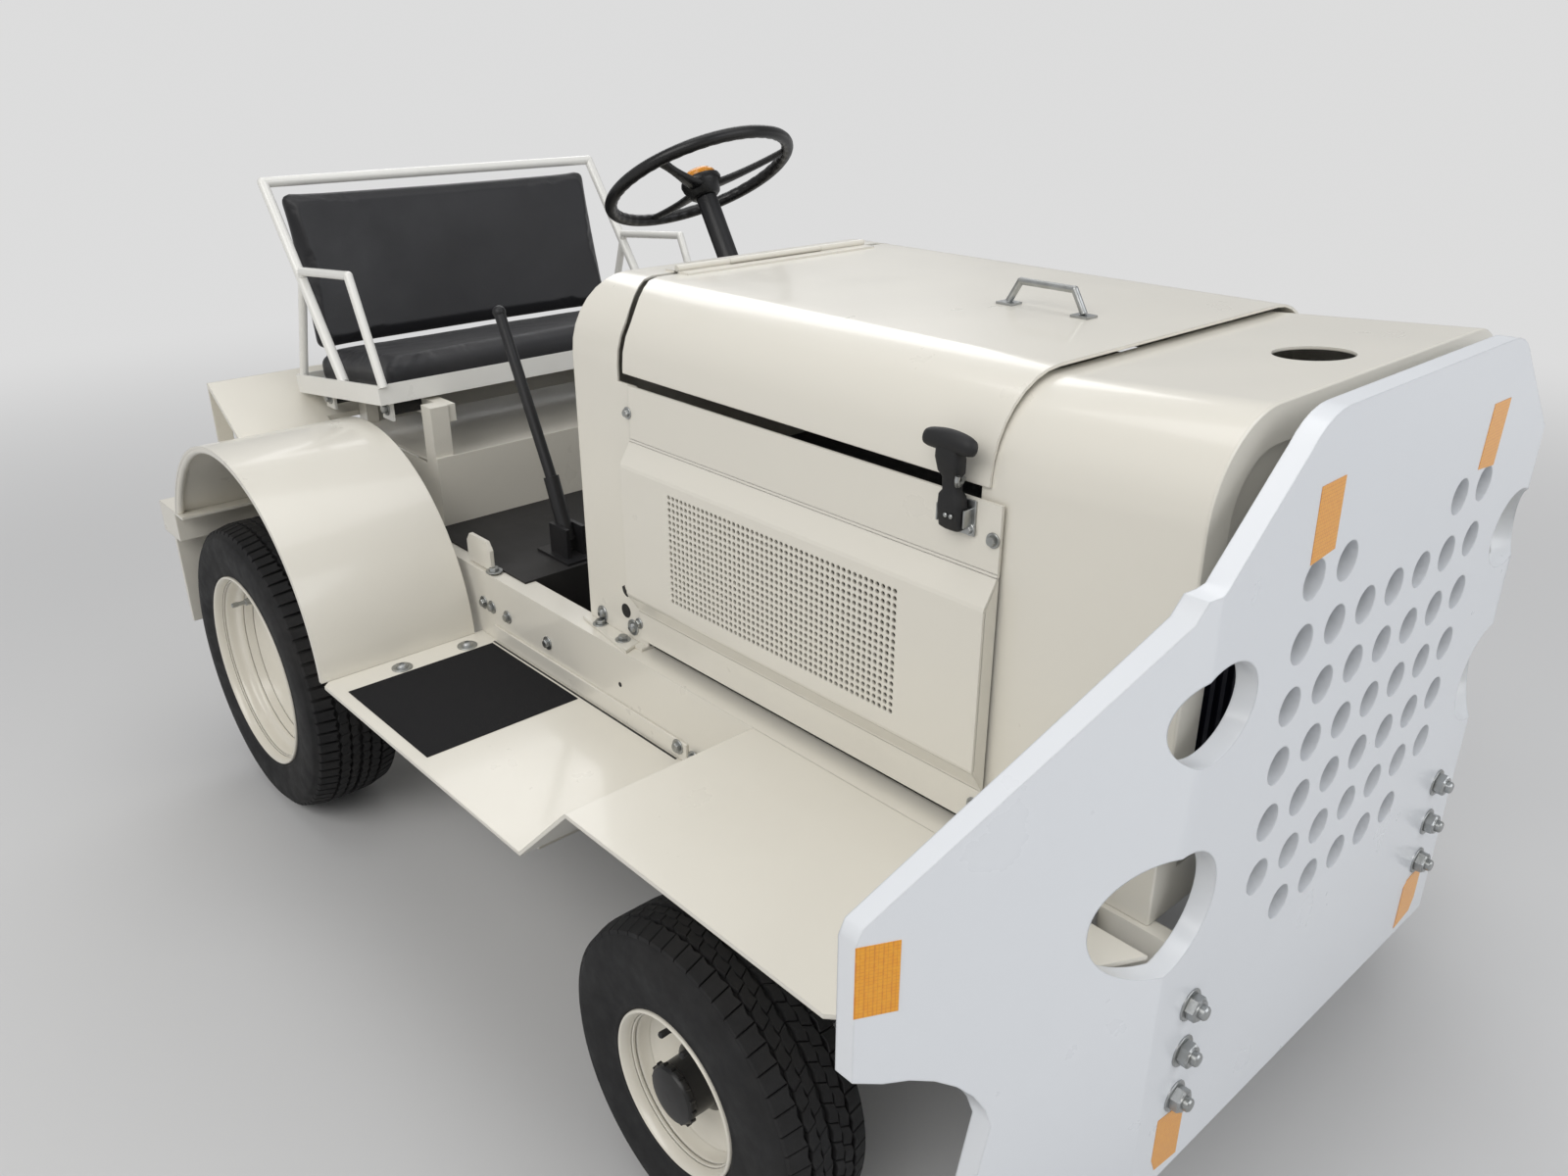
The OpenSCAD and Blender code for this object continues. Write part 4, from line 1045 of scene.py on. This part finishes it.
# Latches: a rubber tee handle on a zinc keeper
def make_latch(side):
    node = "latch_" + side
    sign = SIDES[side]
    x = middle(node).x
    face_y = panel_y(sign, 0.0006)
    grip_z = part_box(node)[1].z - 0.005

    def at(dx, out, up):
        """A point from the latch's middle line, the panel's face and the handle's height."""
        return vec(x + dx, face_y + sign * out, grip_z + up)

    def strap(shape):
        """A block at the foot, a thin neck over the gap and a block under the handle.
        Columns: height, middle, half width, half thickness."""
        sections = [(-0.107, 0.010, 0.012, 0.006), (-0.103, 0.011, 0.017, 0.010),
                    (-0.080, 0.013, 0.018, 0.012), (-0.064, 0.014, 0.0165, 0.011),
                    (-0.058, 0.0145, 0.0115, 0.009), (-0.042, 0.017, 0.0110, 0.008),
                    (-0.035, 0.018, 0.0165, 0.0105), (-0.018, 0.021, 0.0185, 0.012),
                    (-0.006, 0.023, 0.0165, 0.011), (0.004, 0.023, 0.012, 0.008)]
        squarish = [(math.copysign(abs(c) ** 0.55, c), math.copysign(abs(s) ** 0.7, s)) for c, s in turn(20)]
        shape.loft([[at(wide * c, out + thick * s, up) for c, s in squarish]
                    for up, out, wide, thick in sections])

    def handle(shape):
        rings = []
        for k in range(17):
            t = -1 + 2 * k / 16
            r = (0.0125 - 0.0035 * t * t) * (1 - abs(t) ** 10) ** 0.5 + 0.0008
            rings.append([at(0.0395 * t, 0.024 + 0.85 * r * c, 0.003 * (1 - t * t) + r * s)
                          for c, s in turn(16)])
        shape.loft(rings)

    def plate(shape, x0, x1, out, z0, z1, bevel):
        y0, y1 = span(at(0, 0, 0).y, at(0, out, 0).y)
        shape.box((x + x0, y0, grip_z + z0), (x + x1, y1, grip_z + z1), None, bevel)

    rubber = Shape()
    strap(rubber)
    handle(rubber)
    rubber.make("tee_latch_" + side, RUBBER, "chassis", "black_rubber", 45, node)

    keeper = Shape()
    plate(keeper, -0.012, 0.026, 0.003, -0.112, -0.068, 0.0008)
    for x0 in (-0.0215, 0.0190):
        plate(keeper, x0, x0 + 0.0025, 0.017, -0.100, -0.078, 0.0006)
    hex_bolt(keeper, at(0.020, 0.003, -0.104), (0, sign, 0), 0.0050, 0.004, 0.0075)
    for dx in (0.0, 0.008):
        rivet = basis(at(dx, 0.0245, -0.086), (0, sign, 0))
        keeper.lathe([(0.0028, 0), (0.0028, 0.0012), (0.0018, 0.0020)], 14, rivet)
    # the wire hook that the strap's neck is pulled over
    hook = [at(0.004, 0.001, -0.046), at(0.010, 0.012, -0.048), at(0.016, 0.026, -0.046),
            at(0.021, 0.033, -0.038), at(0.022, 0.033, -0.032)]
    keeper.tube(hook, [0.0030] * len(hook), 12)
    keeper.make("latch_keeper_" + side, ZINC, "chassis", "zinc")


make_latch("right")
make_latch("left")


# Stage, camera and light
FLOOR_TONE = (0.62, 0.62, 0.62, 1)
BACK_TONE = (0.72, 0.72, 0.72, 1)


def stage_floor():
    """A pale floor that catches the shadow, and far from the object fades into the backdrop's tone."""
    bpy.ops.mesh.primitive_plane_add(size=60, location=(0, 0, 0))
    floor = bpy.context.object
    floor.name = "stage_floor"
    material = bpy.data.materials.new("stage_floor_pale")
    material.use_nodes = True
    tree = material.node_tree
    matt = tree.nodes["Principled BSDF"]
    matt.inputs["Base Color"].default_value = FLOOR_TONE
    matt.inputs["Roughness"].default_value = 0.9
    matt.inputs["Specular IOR Level"].default_value = 0.1
    path = tree.nodes.new("ShaderNodeLightPath")
    seen = tree.nodes.new("ShaderNodeMath")
    seen.operation = "MAXIMUM"
    where = tree.nodes.new("ShaderNodeTexCoord")
    distance = tree.nodes.new("ShaderNodeVectorMath")
    distance.operation = "LENGTH"
    fade = tree.nodes.new("ShaderNodeMapRange")
    fade.interpolation_type = "SMOOTHSTEP"
    fade.inputs["From Min"].default_value = 2.2
    fade.inputs["From Max"].default_value = 6.0
    share = tree.nodes.new("ShaderNodeMath")
    share.operation = "MULTIPLY"
    glow = tree.nodes.new("ShaderNodeEmission")
    glow.inputs["Color"].default_value = BACK_TONE
    mixer = tree.nodes.new("ShaderNodeMixShader")
    for output, socket in ((path.outputs["Is Camera Ray"], seen.inputs[0]),
                           (path.outputs["Is Glossy Ray"], seen.inputs[1]),
                           (where.outputs["Object"], distance.inputs[0]),
                           (distance.outputs["Value"], fade.inputs["Value"]),
                           (fade.outputs["Result"], share.inputs[0]),
                           (seen.outputs["Value"], share.inputs[1]),
                           (share.outputs["Value"], mixer.inputs[0]),
                           (matt.outputs["BSDF"], mixer.inputs[1]),
                           (glow.outputs["Emission"], mixer.inputs[2]),
                           (mixer.outputs["Shader"], tree.nodes["Material Output"].inputs["Surface"])):
        tree.links.new(output, socket)
    floor.data.materials.append(material)


def studio_world():
    """Soft light from all round, and a plain backdrop for the camera."""
    world = bpy.data.worlds.new("studio")
    scene.world = world
    world.use_nodes = True
    tree = world.node_tree
    light = tree.nodes["Background"]
    light.inputs["Color"].default_value = (0.93, 0.94, 0.96, 1)
    light.inputs["Strength"].default_value = 0.42
    backdrop = tree.nodes.new("ShaderNodeBackground")
    backdrop.inputs["Color"].default_value = BACK_TONE
    path = tree.nodes.new("ShaderNodeLightPath")
    mixer = tree.nodes.new("ShaderNodeMixShader")
    for output, socket in ((path.outputs["Is Camera Ray"], mixer.inputs[0]),
                           (light.outputs["Background"], mixer.inputs[1]),
                           (backdrop.outputs["Background"], mixer.inputs[2]),
                           (mixer.outputs["Shader"], tree.nodes["World Output"].inputs["Surface"])):
        tree.links.new(output, socket)


def aimed(obj, at, direction):
    scene.collection.objects.link(obj)
    obj.location = at
    obj.rotation_euler = Vector(direction).to_track_quat("-Z", "Y").to_euler()


def camera():
    """The camera of the photograph, solved from the plate's hole grid."""
    data = bpy.data.cameras.new("camera")
    data.sensor_width = 36
    data.lens = 28.05
    data.clip_start = 0.01
    scene.camera = bpy.data.objects.new("camera", data)
    aimed(scene.camera, (1.698, -1.4244, 1.532), (-0.676, 0.614, -0.4072))


def lamp(name, at, target, size, power, color=(1, 1, 1)):
    data = bpy.data.lights.new(name, "AREA")
    data.shape = "RECTANGLE"
    data.size, data.size_y = size
    data.energy = power
    data.color = color
    aimed(bpy.data.objects.new(name, data), at, Vector(target) - Vector(at))


stage_floor()
camera()
studio_world()
lamp("key", (1.4, -4.6, 4.6), (0, 0, 0.5), (5.5, 3.2), 170, (1.0, 0.985, 0.96))
lamp("fill", (4.8, 1.2, 3.4), (0.2, 0, 0.6), (4.0, 3.0), 80, (0.95, 0.97, 1.0))
lamp("back", (-4.2, 3.0, 4.2), (-0.4, 0, 0.7), (4.0, 2.4), 70)
lamp("top", (-0.2, 0.2, 5.4), (0, 0, 0), (4.0, 2.4), 55)
scene.view_settings.view_transform = "Standard"

bpy.context.view_layer.update()
